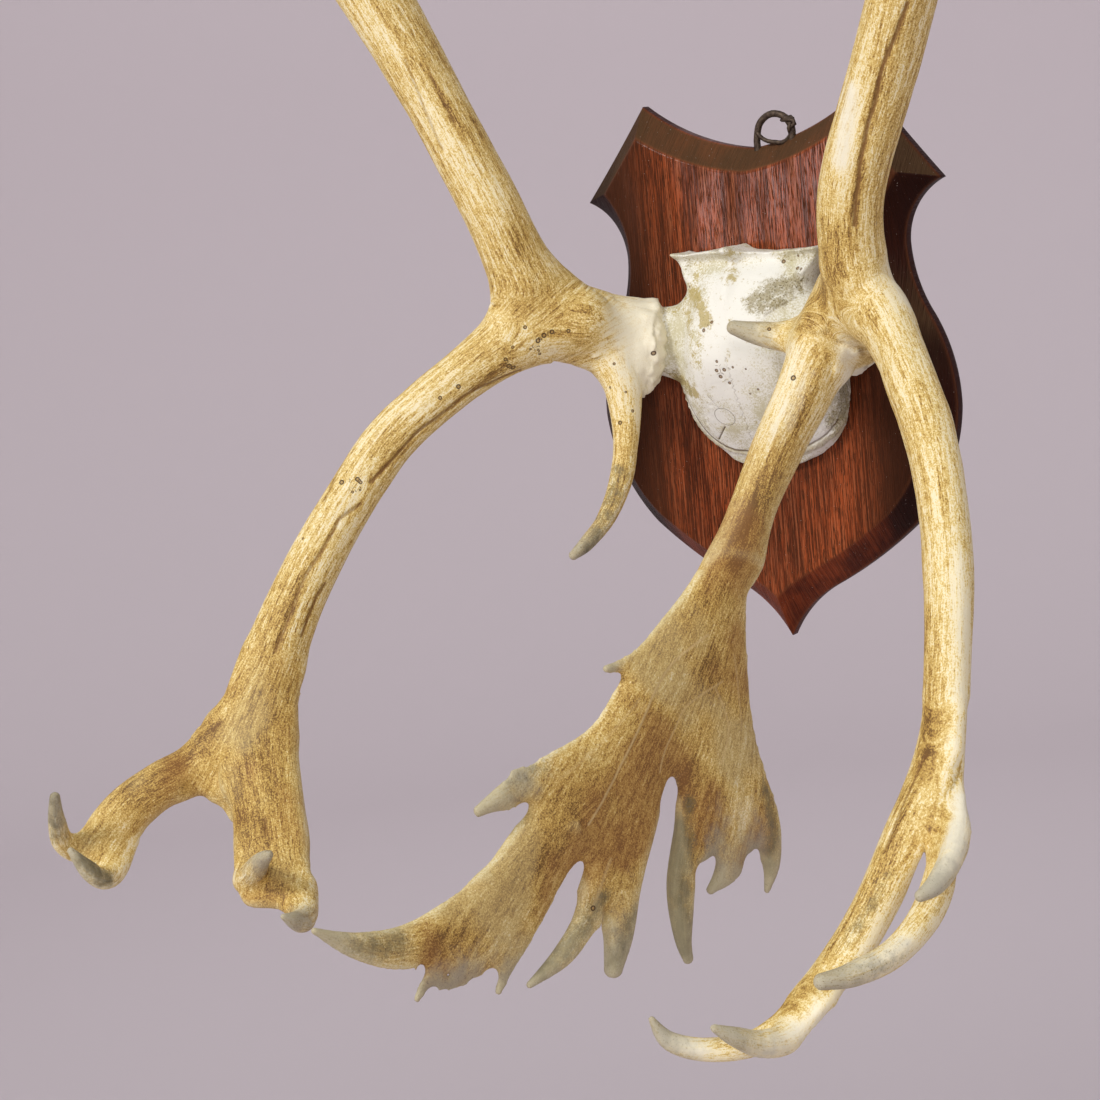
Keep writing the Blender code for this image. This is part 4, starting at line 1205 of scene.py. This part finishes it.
def off_circle(skin, seen):
    """How far each point is off a thin drawn ring, in its widths, inside or outside."""
    centre = seen.under(RING_CENTRE)
    edge = seen.under((RING_CENTRE[0] + RING_RADIUS, RING_CENTRE[1]))
    distance = np.linalg.norm(skin.points - centre, axis=1) - np.linalg.norm(edge - centre)
    return np.clip(distance / RING_WIDTH, -9, 9)


def arc(start, end, bulge, count):
    """Points from start up to end, on an arc that bows to the left by bulge.

    The arc's radius is (chord ** 2 / 4 + bulge ** 2) / (2 * bulge).
    """
    start, end = np.array(start), np.array(end)
    chord = np.linalg.norm(end - start)
    radius = (chord ** 2 / 4 + bulge ** 2) / (2 * abs(bulge))
    half = math.asin(chord / 2 / radius)
    ahead = (end - start) / chord
    side = np.array((-ahead[1], ahead[0])) * math.copysign(1.0, bulge)
    centre = (start + end) / 2 - side * (radius - abs(bulge))
    turn = (-half + 2 * half * np.arange(count) / count)[:, None]
    return centre + radius * (side * np.cos(turn) + ahead * np.sin(turn))


def offset_side(side, turn_in, turn_out):
    """A side of the shield moved in by the chamfer's width, its two ends at the mitres.

    A mitre lies on the line that halves the corner, at width / sin(half angle), and takes
    width / tan(half angle) off the side. The side's points keep their shares of its length.
    """
    heading = unit(np.gradient(side, axis=0))
    inner = side + np.stack((heading[:, 1], -heading[:, 0]), axis=1) * CHAMFER_INSET
    lengths = run_along(side)
    share = lengths / lengths[-1]
    first = CHAMFER_INSET / math.tan(turn_in / 2) / lengths[-1]
    last = CHAMFER_INSET / math.tan(turn_out / 2) / lengths[-1]
    places = np.clip(first + share * (1 - first - last), 0.0, 1.0)
    return np.stack([np.interp(places, share, axis) for axis in inner.T], axis=1)


def corner_turn(before, corner, after):
    """The angle inside a corner, on the right of the way round."""
    back = before - corner
    ahead = after - corner
    turn = math.atan2(back[0], back[1]) - math.atan2(ahead[0], ahead[1])
    return turn % (2 * math.pi)


def shield_rings():
    """The shield's outline and the front face's outline, point for point.

    Each sharp corner parts two sides. The front's outline is drawn onto the mitre at each
    corner by a share that fades along the side.
    """
    top = arc(TOP_DIP, PEAK, TOP_BOW, 60)
    shoulder = arc(PEAK, CORNER, SHOULDER_BOW, 48)
    starts = [CORNER] + [row[0] for row in FLANK_ARCS]
    flank = np.concatenate([arc(start, *row) for start, row in zip(starts, FLANK_ARCS)])
    half = [np.concatenate((side, [end])) for side, end in
            ((top, PEAK), (shoulder, CORNER), (flank, TIP))]
    sides = half + [side[::-1] * (-1, 1) for side in half[::-1]]
    turns = [corner_turn(sides[k - 1][-2], side[0], side[1]) for k, side in enumerate(sides)]
    outer, inner = [], []
    for k, side in enumerate(sides):
        turn_in, turn_out = turns[k], turns[(k + 1) % len(sides)]
        moved = offset_side(side, turn_in, turn_out)
        share = np.linspace(0, 1, len(side))[:, None]
        moved += (mitre(sides[k - 1][-2], side[0], side[1]) - moved[0]) * (1 - share) ** 5
        after = sides[(k + 1) % len(sides)]
        moved += (mitre(side[-2], side[-1], after[1]) - moved[-1]) * share ** 5
        outer.append(side[:-1])
        inner.append(moved[:-1])
    return np.concatenate(outer), np.concatenate(inner)


def mitre(before, corner, after):
    """Where the two sides that meet at a corner meet again once moved in."""
    ways = unit(np.stack((corner - before, after - corner)))
    normals = np.stack((ways[:, 1], -ways[:, 0]), axis=1)
    middle = unit(normals.sum(0))
    return corner + middle * CHAMFER_INSET / (middle @ normals[0])


def plaque_piece():
    """The shield board: a flat back, a square edge, a broad chamfer and a flat front.

    Rings run from the back's middle to the front's middle. On the edge and the chamfer
    a ring is outer + (inner - outer) * share, and on the two flat faces it is
    middle + (outline - middle) * share. The arrises are rounded by a few close rings.
    """
    outer, inner = shield_rings()
    middle = np.array(FACE_MIDDLE)
    fall = PLAQUE_THICKNESS - PLAQUE_EDGE
    rings = [(middle + (outer - middle) * share, 0.0) for share in (0.1, 0.5, 0.9, 0.994)]
    slope = [(share, PLAQUE_EDGE + fall * share) for share in np.linspace(0.1, 0.95, 14)]
    for share, depth in EDGE_RINGS + slope + [(0.99, PLAQUE_THICKNESS - 0.35)]:
        rings.append((outer + (inner - outer) * share, depth))
    face = outer + (inner - outer) * 1.04 - middle
    rings.append((middle + face, PLAQUE_THICKNESS - 0.02))
    for share in np.linspace(0.985, 0.05, 50):
        rings.append((middle + face * share, PLAQUE_THICKNESS))
    grid = np.stack([np.stack((flat[:, 0], np.full(len(flat), -depth), flat[:, 1]), axis=1)
                     for flat, depth in rings])
    poles = [(middle[0], 0.0, middle[1]), (middle[0], -PLAQUE_THICKNESS, middle[1])]
    points = np.concatenate((grid.reshape(-1, 3), poles))
    skin = Skin(points, closed_grid(len(grid), len(outer))[:, ::-1])

    normals = skin.normals()
    depth = -skin.points[:, 1]
    chamfer = eased(8.0, 9.5, depth) * (1 - eased(24.5, 25.9, depth))
    upward = chamfer * np.clip(normals[:, 2], 0, 1) * 1.4
    wear = bell(depth, 8.0, 1.0) + bell(depth, 25.3, 0.9)
    edge = 1 - 0.5 * eased(6.5, 8.5, depth) - 0.5 * eased(24.5, 25.9, depth)
    return new_piece("plaque_board", skin, "mahogany", tone=(upward, wear, edge))


def wire_piece():
    """The hanging loop: one bent wire, its tail wound round the right leg."""
    loop = Limb([(x, LOOP_Y, z, WIRE_RADIUS, WIRE_RADIUS) for x, z in LOOP_ROUTE], (0, 1, 0))
    start, end = (int(len(loop.centre) * part) for part in WOUND_PART)
    turn = np.linspace(*WOUND_TURN, end - start)[:, None]
    lift = WIRE_RADIUS * 1.5
    wound = loop.centre[start:end] + lift * (loop.across[start:end] * np.cos(turn)
                                             + loop.through[start:end] * np.sin(turn))
    route = np.concatenate((TAIL_ROUTE, wound[::-2], CURL_ROUTE))
    strand = Limb([(*place, STRAND_RADIUS, STRAND_RADIUS) for place in route], (0, 1, 0))
    return new_piece("hanging_wire", Skin(*joined([tube(loop, 18), tube(strand, 14)])), "dark_iron")


class Value:
    """A number or vector worked out by a shader, with Python's own operators."""

    def __init__(self, finish, socket):
        self.finish = finish
        self.socket = socket

    def maths(self, operation, first, second):
        return self.finish.node("ShaderNodeMath", {"operation": operation}, {0: first, 1: second})

    def __add__(self, other):
        return self.maths("ADD", self, other)

    def __sub__(self, other):
        return self.maths("SUBTRACT", self, other)

    def __rsub__(self, other):
        return self.maths("SUBTRACT", other, self)

    def __mul__(self, other):
        return self.maths("MULTIPLY", self, other)

    def __abs__(self):
        return self.maths("ABSOLUTE", self, 0.0)

    __radd__ = __add__
    __rmul__ = __mul__


class Finish:
    """A material in the making, with one method that adds its nodes."""

    def __init__(self, name, **settings):
        self.material = bpy.data.materials.new(name)
        self.material.use_nodes = True
        self.tree = self.material.node_tree
        self.shader = self.tree.nodes["Principled BSDF"]
        for socket, value in settings.items():
            self.shader.inputs[socket.replace("_", " ")].default_value = value

    def node(self, kind, settings, values, output=0):
        """Adds a node: its settings first, then its sockets' values or links."""
        node = self.tree.nodes.new(kind)
        for name, value in settings.items():
            setattr(node, name, value)
        for socket, value in values.items():
            if isinstance(value, Value):
                self.tree.links.new(value.socket, node.inputs[socket])
            else:
                node.inputs[socket].default_value = value
        return Value(self, node.outputs[output])

    def feed(self, socket, value):
        self.tree.links.new(value.socket, self.shader.inputs[socket])

    def places(self):
        """Object coordinates in millimetres."""
        return self.scaled(self.node("ShaderNodeTexCoord", {}, {}, "Object"), (1 / MM,) * 3)

    def attribute(self, name):
        return self.node("ShaderNodeAttribute", {"attribute_name": name}, {}, "Vector")

    def parts(self, vector):
        """The three numbers of a vector."""
        first = self.node("ShaderNodeSeparateXYZ", {}, {0: vector})
        return [Value(self, socket) for socket in first.socket.node.outputs]

    def numbers(self, name):
        """The three numbers of an attribute."""
        return self.parts(self.attribute(name))

    def gap(self, name):
        """How far off the nearest stroke a place is, in stroke widths."""
        vector = self.attribute(name)
        return self.node("ShaderNodeVectorMath", {"operation": "LENGTH"}, {0: vector}, "Value")

    def pits(self, near, floor):
        """The floors of the pits and their dark brims."""
        pit = self.gap("pit")
        return self.within(pit, floor, 1.05) * near, self.within(abs(pit - 0.8), 0.1, 0.4) * near

    def mix(self, factor, low, high):
        """A number between two, by a factor."""
        return low + (high - low) * factor

    def scaled(self, vector, sizes):
        return self.node("ShaderNodeVectorMath", {"operation": "MULTIPLY"}, {0: vector, 1: sizes})

    def cloud(self, vector, sizes, detail=2.0, roughness=0.5):
        """Noise whose blobs are about the given sizes, from 0 to 1."""
        vector = self.scaled(vector, tuple(1 / size for size in sizes))
        return self.node("ShaderNodeTexNoise", {}, {
            "Vector": vector, "Scale": 1.0, "Detail": detail, "Roughness": roughness})

    def step(self, value, low, high):
        """0 up to low, 1 from high, and a smooth step between."""
        return self.node("ShaderNodeMapRange", {"interpolation_type": "SMOOTHSTEP"}, {
            "Value": value, "From Min": low, "From Max": high})

    def within(self, value, full, none):
        """1 up to full, 0 from none, and a smooth step between."""
        return 1 - self.step(value, full, none)

    def ramp(self, value, stops):
        """A colour read off a row of (place, colour) stops."""
        low, made = stops[0][0], colour(*stops[0][1])
        for high, shade in stops[1:]:
            made = self.blend(self.step(value, low, high), made, colour(*shade))
            low = high
        return made

    def layered(self, base, layers):
        """Colours laid over a base one after another, each by its own factor."""
        for factor, shade in layers:
            base = self.blend(factor, base, shade if isinstance(shade, Value) else colour(*shade))
        return base

    def blend(self, factor, low, high):
        """A colour between two, by a factor."""
        return self.node("ShaderNodeMix", {"data_type": "RGBA"}, {0: factor, 6: low, 7: high}, 2)

    def bump(self, height, distance):
        """Surface relief from a height, its full swing being distance in millimetres."""
        self.feed("Normal", self.node("ShaderNodeBump", {}, {
            "Height": height, "Distance": distance * MM, "Strength": 1.0}))


def colour(red, green, blue):
    """A colour given in sRGB from 0 to 255, as the shader wants it."""
    shares = (red / 255, green / 255, blue / 255)
    linear = [c / 12.92 if c <= 0.04045 else ((c + 0.055) / 1.055) ** 2.4 for c in shares]
    return (*linear, 1.0)


def antler_finish():
    """Ivory to tan antler with a fine granular mottle, streaked along its shafts.

    Depth is how far the rind is stained: blotches, stains, streaks and grit darken it, and
    bleach and rubbed edges pale it.
    """
    made = Finish("antler_rind", Roughness=0.6, Specular_IOR_Level=0.35)
    grain = made.attribute("grain")
    stain, bleach, worn = made.numbers("tone")
    grey, bulge, palm = made.numbers("state")
    pit_near, groove_near, vein_near = made.numbers("near")
    hole, brim = made.pits(pit_near, 0.75)
    groove = made.gap("groove")
    cut = made.within(groove, 0.2, 1.3) * groove_near
    seep = made.within(groove, 0.5, 2.8) * groove_near
    vein = made.within(made.gap("vein"), 0.1, 1.0) * vein_near
    body = made.numbers("body")[0]
    fan = made.attribute("fan")
    places = made.places()

    broad = made.cloud(places, (52, 52, 70), 2.0, 0.5)
    blotch = made.cloud(grain, (13, 13, 60), 3.0, 0.55)
    patch = made.cloud(places, (6, 6, 8), 3.0, 0.6)
    streak = made.mix(palm, made.cloud(grain, (2.6, 2.6, 60), 3.0, 0.6),
                      made.cloud(fan, (2.8, 9, 60), 3.0, 0.6))
    fibre = made.mix(palm, made.cloud(grain, (0.8, 0.8, 6), 2.0, 0.8),
                     made.cloud(fan, (1.2, 9, 9), 2.0, 0.8))
    grit = made.cloud(places, (1.0, 1.0, 1.0), 2.0, 0.8)
    rubbed = made.step(bulge, 0.12, 0.6)
    hidden = made.step(bulge * -1, 0.02, 0.4)

    depth = 0.38 + stain * (blotch * 0.7 + 0.05) + made.mix(body, blotch - 0.5, broad - 0.5) * 0.7
    depth = depth + (patch - 0.5) * (0.4 - body * 0.25) + (streak - 0.5) * (1.6 - body * 0.6)
    depth = depth + (fibre - 0.5) * (1.9 - body * 0.5) + (grit - 0.5) * 1.8
    depth = depth + body * 0.22 + hidden * 0.3 - rubbed * 0.25
    depth = depth + seep * 0.25 - bleach * (patch * 0.5 + 0.2)
    base = made.ramp(depth, [
        (0.0, (240, 228, 190)), (0.25, (230, 208, 142)), (0.5, (208, 176, 98)),
        (0.75, (178, 142, 72)), (1.1, (112, 80, 38))])
    chalk = made.step(bleach + (patch - 0.5) * 0.6 + (0.5 - streak) * 0.6, 0.35, 0.95)
    pale = made.step(worn + (patch - 0.5) * 0.6, 0.15, 0.8)
    dull = made.step(grey + (patch - 0.5) * 0.9 + (grit - 0.5) * 0.6, 0.15, 0.95)
    soot = made.step(grit + streak, 0.9, 1.1)
    soiled = made.blend(soot, colour(70, 63, 40), colour(120, 111, 82))
    speck = made.step(grit, 0.6, 0.7) * made.step(worn + grey, 0.25, 0.8)
    base = made.layered(base, [
        (chalk * (1 - body * 0.7) * 0.75, (234, 229, 209)),
        (body * made.within(broad, 0.36, 0.5) * 0.35, (178, 164, 122)),
        (body * made.step(broad, 0.5, 0.64) * 0.35, (156, 104, 54)),
        (pale * 0.8, (162, 156, 136)),
        (dull * 0.9, soiled),
        (speck * 0.6, (78, 66, 46)),
        (rubbed * body * 0.35, (200, 190, 150)),
        # pale veins: painted highlight on their raised ribs
        (vein * 0.7, (210, 184, 130)),
        (cut * 0.85, (116, 78, 36)),
        (hole * 0.7, (146, 112, 60)),
        (brim * 0.95, (70, 48, 24)),
    ])
    made.feed("Base Color", base)
    rough = streak * 0.4 + fibre * 0.3 + grit * 0.3 + patch * 0.2
    made.bump(rough - cut * 0.4 - hole * 0.3, 0.7)
    return made.material


def skull_finish():
    """Chalky white bone, yellowed and porous in places."""
    made = Finish("skull_bone", Roughness=0.7, Specular_IOR_Level=0.3)
    yellow, grey, rim = made.numbers("tone")
    pit_near, line_near, circle = made.numbers("near")
    hole, brim = made.pits(pit_near, 0.7)
    line = made.within(made.gap("line"), 0.2, 1.0) * line_near
    drawn = made.within(abs(circle), 0.2, 1.0)
    fair = made.numbers("fair")[0]
    places = made.places()
    blotch = made.cloud(places, (17, 17, 17), 3.0, 0.55)
    patch = made.cloud(places, (4.5, 4.5, 4.5), 3.0, 0.6)
    grit = made.cloud(places, (1.1, 1.1, 1.1), 2.0, 0.7)
    tone = made.step(blotch + (grit - 0.5) * 1.0 - fair * 0.5, 0.34, 0.66)
    base = made.blend(tone, colour(232, 231, 221), colour(201, 195, 164))
    sallow = made.step(yellow + (patch - 0.5) * 2.4 + (grit - 0.5) * 1.6, 0.2, 0.9)
    porous = made.step(grey + (patch - 0.5) * 1.8 + (grit - 0.5), 0.25, 1.0)
    dark = made.step(grit, 0.56, 0.66) * made.step(grey + yellow * 0.6 + rim * 0.5, 0.3, 0.9)
    base = made.layered(base, [
        (sallow * 0.85, (178, 160, 96)),
        (porous * 0.8, (150, 138, 98)),
        (made.step(rim + (patch - 0.5) * 1.2, 0.2, 0.8) * 0.6, (164, 150, 108)),
        (dark * 0.85, (84, 74, 44)),
        # dark lines: the suture and marks, and along the cap's lower edge a painted shadow
        (line * 0.75, (96, 76, 46)),
        (hole * 0.8, (140, 110, 66)),
        (brim * 0.85, (84, 58, 36)),
        (drawn * 0.7, (116, 108, 90)),
    ])
    made.feed("Base Color", base)
    made.bump(patch * 0.3 + grit * 0.3 + grit * (grey + rim) * 0.8 - line * 0.7 - hole * 0.5, 0.4)
    return made.material


def mahogany_finish():
    """Dark red brown wood with strong upright grain under a worn varnish, dusty above."""
    made = Finish("mahogany", Specular_IOR_Level=0.08, Coat_Roughness=0.24)
    dust, wear, outward = made.numbers("tone")
    edge = made.step(outward, 0.55, 0.95)
    sloped = made.step(outward, 0.05, 0.45)
    places = made.places()
    across, _, rise = made.parts(places)
    # How far out to the sides. The flanks are darkened: partly a dark stain of the wood, partly
    # painted shadow of the antlers.
    flank = made.step(abs(across), 46.0, 92.0)
    broad = made.cloud(places, (30, 30, 110), 3.0, 0.6)
    fibre = made.cloud(places, (1.0, 60, 60), 2.0, 0.75)
    pores = made.cloud(places, (0.7, 30, 12), 2.0, 0.8)
    speck = made.cloud(places, (0.9, 0.9, 0.9), 1.0)
    base = made.blend(made.step(broad, 0.36, 0.6), colour(106, 43, 20), colour(170, 76, 34))
    plain = 1 - sloped * 0.6
    grime = made.step(dust + (fibre - 0.5) * 0.4 + (broad - 0.5) * 0.6, 0.1, 0.9)
    base = made.layered(base, [
        (made.within(fibre, 0.4, 0.48) * plain * 0.5, (168, 104, 70)),
        (made.step(fibre, 0.48, 0.55) * plain * 0.8, (54, 20, 11)),
        (made.step(pores, 0.53, 0.58) * plain * 0.85, (24, 9, 5)),
        (made.within(flank, 0.0, 1.0) * sloped * 0.45, (48, 20, 11)),
        # dark flanks: a stain of the wood with painted shadow of the antlers
        (flank * 0.97, (34, 12, 6)),
        (grime * 0.75, (84, 64, 42)),
        (wear * 0.3, (140, 84, 50)),
        (edge * 0.7, (50, 19, 13)),
        (made.step(speck, 0.76, 0.8) * 0.7, (214, 200, 190)),
    ])
    made.feed("Base Color", base)
    made.feed("Roughness", 0.34 + dust * 0.35 + pores * 0.2)
    varnish = made.step(rise, 20.0, 120.0) * (1 - flank) * (1 - dust) * 0.5
    made.feed("Coat Weight", varnish * made.step(broad, 0.3, 0.6) * made.within(pores, 0.45, 0.56))
    made.bump((fibre + pores) * -1, 0.8)
    return made.material


def wire_finish():
    """Dark brown, dull, tarnished iron."""
    made = Finish("dark_iron", Metallic=0.55, Roughness=0.55)
    mottle = made.cloud(made.places(), (2.0, 2.0, 2.0), 2.0)
    made.feed("Base Color", made.blend(made.step(mottle, 0.4, 0.65), colour(84, 70, 56),
                                       colour(58, 45, 36)))
    return made.material


def backdrop_finish():
    """Pale mauve grey paper."""
    made = Finish("backdrop", Roughness=0.9, Specular_IOR_Level=0.1)
    made.shader.inputs["Base Color"].default_value = colour(210, 201, 205)
    return made.material


FINISHES = {
    "antler_rind": antler_finish(), "skull_bone": skull_finish(),
    "mahogany": mahogany_finish(), "dark_iron": wire_finish(), "backdrop": backdrop_finish(),
}


def studio():
    """A seamless pale bowl: a flat floor that curves up into an upright wall.

    Point (i, k) of the grid is at radius r_i and height z_i, turned by angle k.
    """
    bend = np.linspace(0, math.pi / 2, 16)
    radii = np.concatenate(([0.2, 2.5], FLOOR_RADIUS + BOWL_BEND * np.sin(bend),
                            [FLOOR_RADIUS + BOWL_BEND]))
    heights = np.concatenate(([0.0, 0.0], BOWL_BEND * (1 - np.cos(bend)), [BOWL_HEIGHT]))
    turn = 2 * np.pi * np.arange(96) / 96
    grid = np.stack((radii[:, None] * np.cos(turn), radii[:, None] * np.sin(turn),
                     np.repeat(heights[:, None] + FLOOR_Z, 96, axis=1)), axis=-1)
    points = np.concatenate((grid.reshape(-1, 3), [(0.0, 0.0, FLOOR_Z)])) / MM
    triangles = closed_grid(len(radii), 96)
    triangles = triangles[(triangles != len(points)).all(axis=1)]
    floor = new_object("studio_floor", points, triangles, "backdrop")


def area_light(name, place, aim, size, power, tint):
    """A soft round lamp that faces a point."""
    lamp = bpy.data.lights.new(name, "AREA")
    lamp.shape = "DISK"
    lamp.size = size
    lamp.energy = power
    lamp.color = tint
    item = bpy.data.objects.new(name, lamp)
    item.location = place
    item.rotation_euler = (Vector(aim) - Vector(place)).to_track_quat("-Z", "Y").to_euler()
    item.visible_camera = False
    bpy.context.scene.collection.objects.link(item)


def lights():
    """An even sky and the lamps."""
    world = bpy.data.worlds.new("studio")
    world.use_nodes = True
    sky = world.node_tree.nodes["Background"].inputs
    sky["Color"].default_value = SKY_TINT
    sky["Strength"].default_value = SKY_STRENGTH
    bpy.context.scene.world = world
    for lamp in LAMPS:
        area_light(*lamp)


def camera():
    """The camera at the photograph's place and angle."""
    lens = bpy.data.cameras.new("camera")
    lens.sensor_width = SENSOR_WIDTH
    lens.lens = SENSOR_WIDTH * FOCAL_PIXELS / PHOTO_SIZE
    right, up, forward = view_axes()
    turn = Matrix((right, up, -forward)).transposed().to_4x4()
    item = bpy.data.objects.new("camera", lens)
    item.matrix_world = Matrix.Translation(CAMERA_PLACE) @ turn
    bpy.context.scene.collection.objects.link(item)
    bpy.context.scene.camera = item


LEFT_MARKS = {
    "bleach": LEFT_BLEACH, "grey": LEFT_GREY, "stains": LEFT_STAINS, "soft": LEFT_SOFT,
    "grooves": LEFT_GROOVES, "veins": [], "pits": LEFT_PITS, "fan": LEFT_FAN,
}
RIGHT_MARKS = {
    "bleach": RIGHT_BLEACH, "grey": RIGHT_GREY, "stains": RIGHT_STAINS, "soft": RIGHT_SOFT,
    "grooves": RIGHT_GROOVES, "veins": RIGHT_VEINS, "pits": RIGHT_PITS, "fan": RIGHT_FAN,
}
ANTLER_NODES = ("antler_base", "beam", "back_tine", "crown", "bez_tine", "bez_outer_prong",
                "bez_inner_prong")


def build():
    left = antler_piece("left", left_limbs(), LEFT_VOXEL, LEFT_MARKS)
    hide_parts("left_brow_tine", *(f"left_{node}" for node in ANTLER_NODES))
    right = antler_piece("right", right_limbs(), RIGHT_VOXEL, RIGHT_MARKS)
    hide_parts("right_brow_shovel", *(f"right_{node}" for node in ANTLER_NODES))
    skull = skull_piece()
    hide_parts("skull_cap")
    board = plaque_piece()
    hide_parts("plaque")
    wire = wire_piece()
    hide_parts("hanger_loop")


build()
studio()
lights()
camera()
bpy.context.scene.view_settings.view_transform = "Standard"
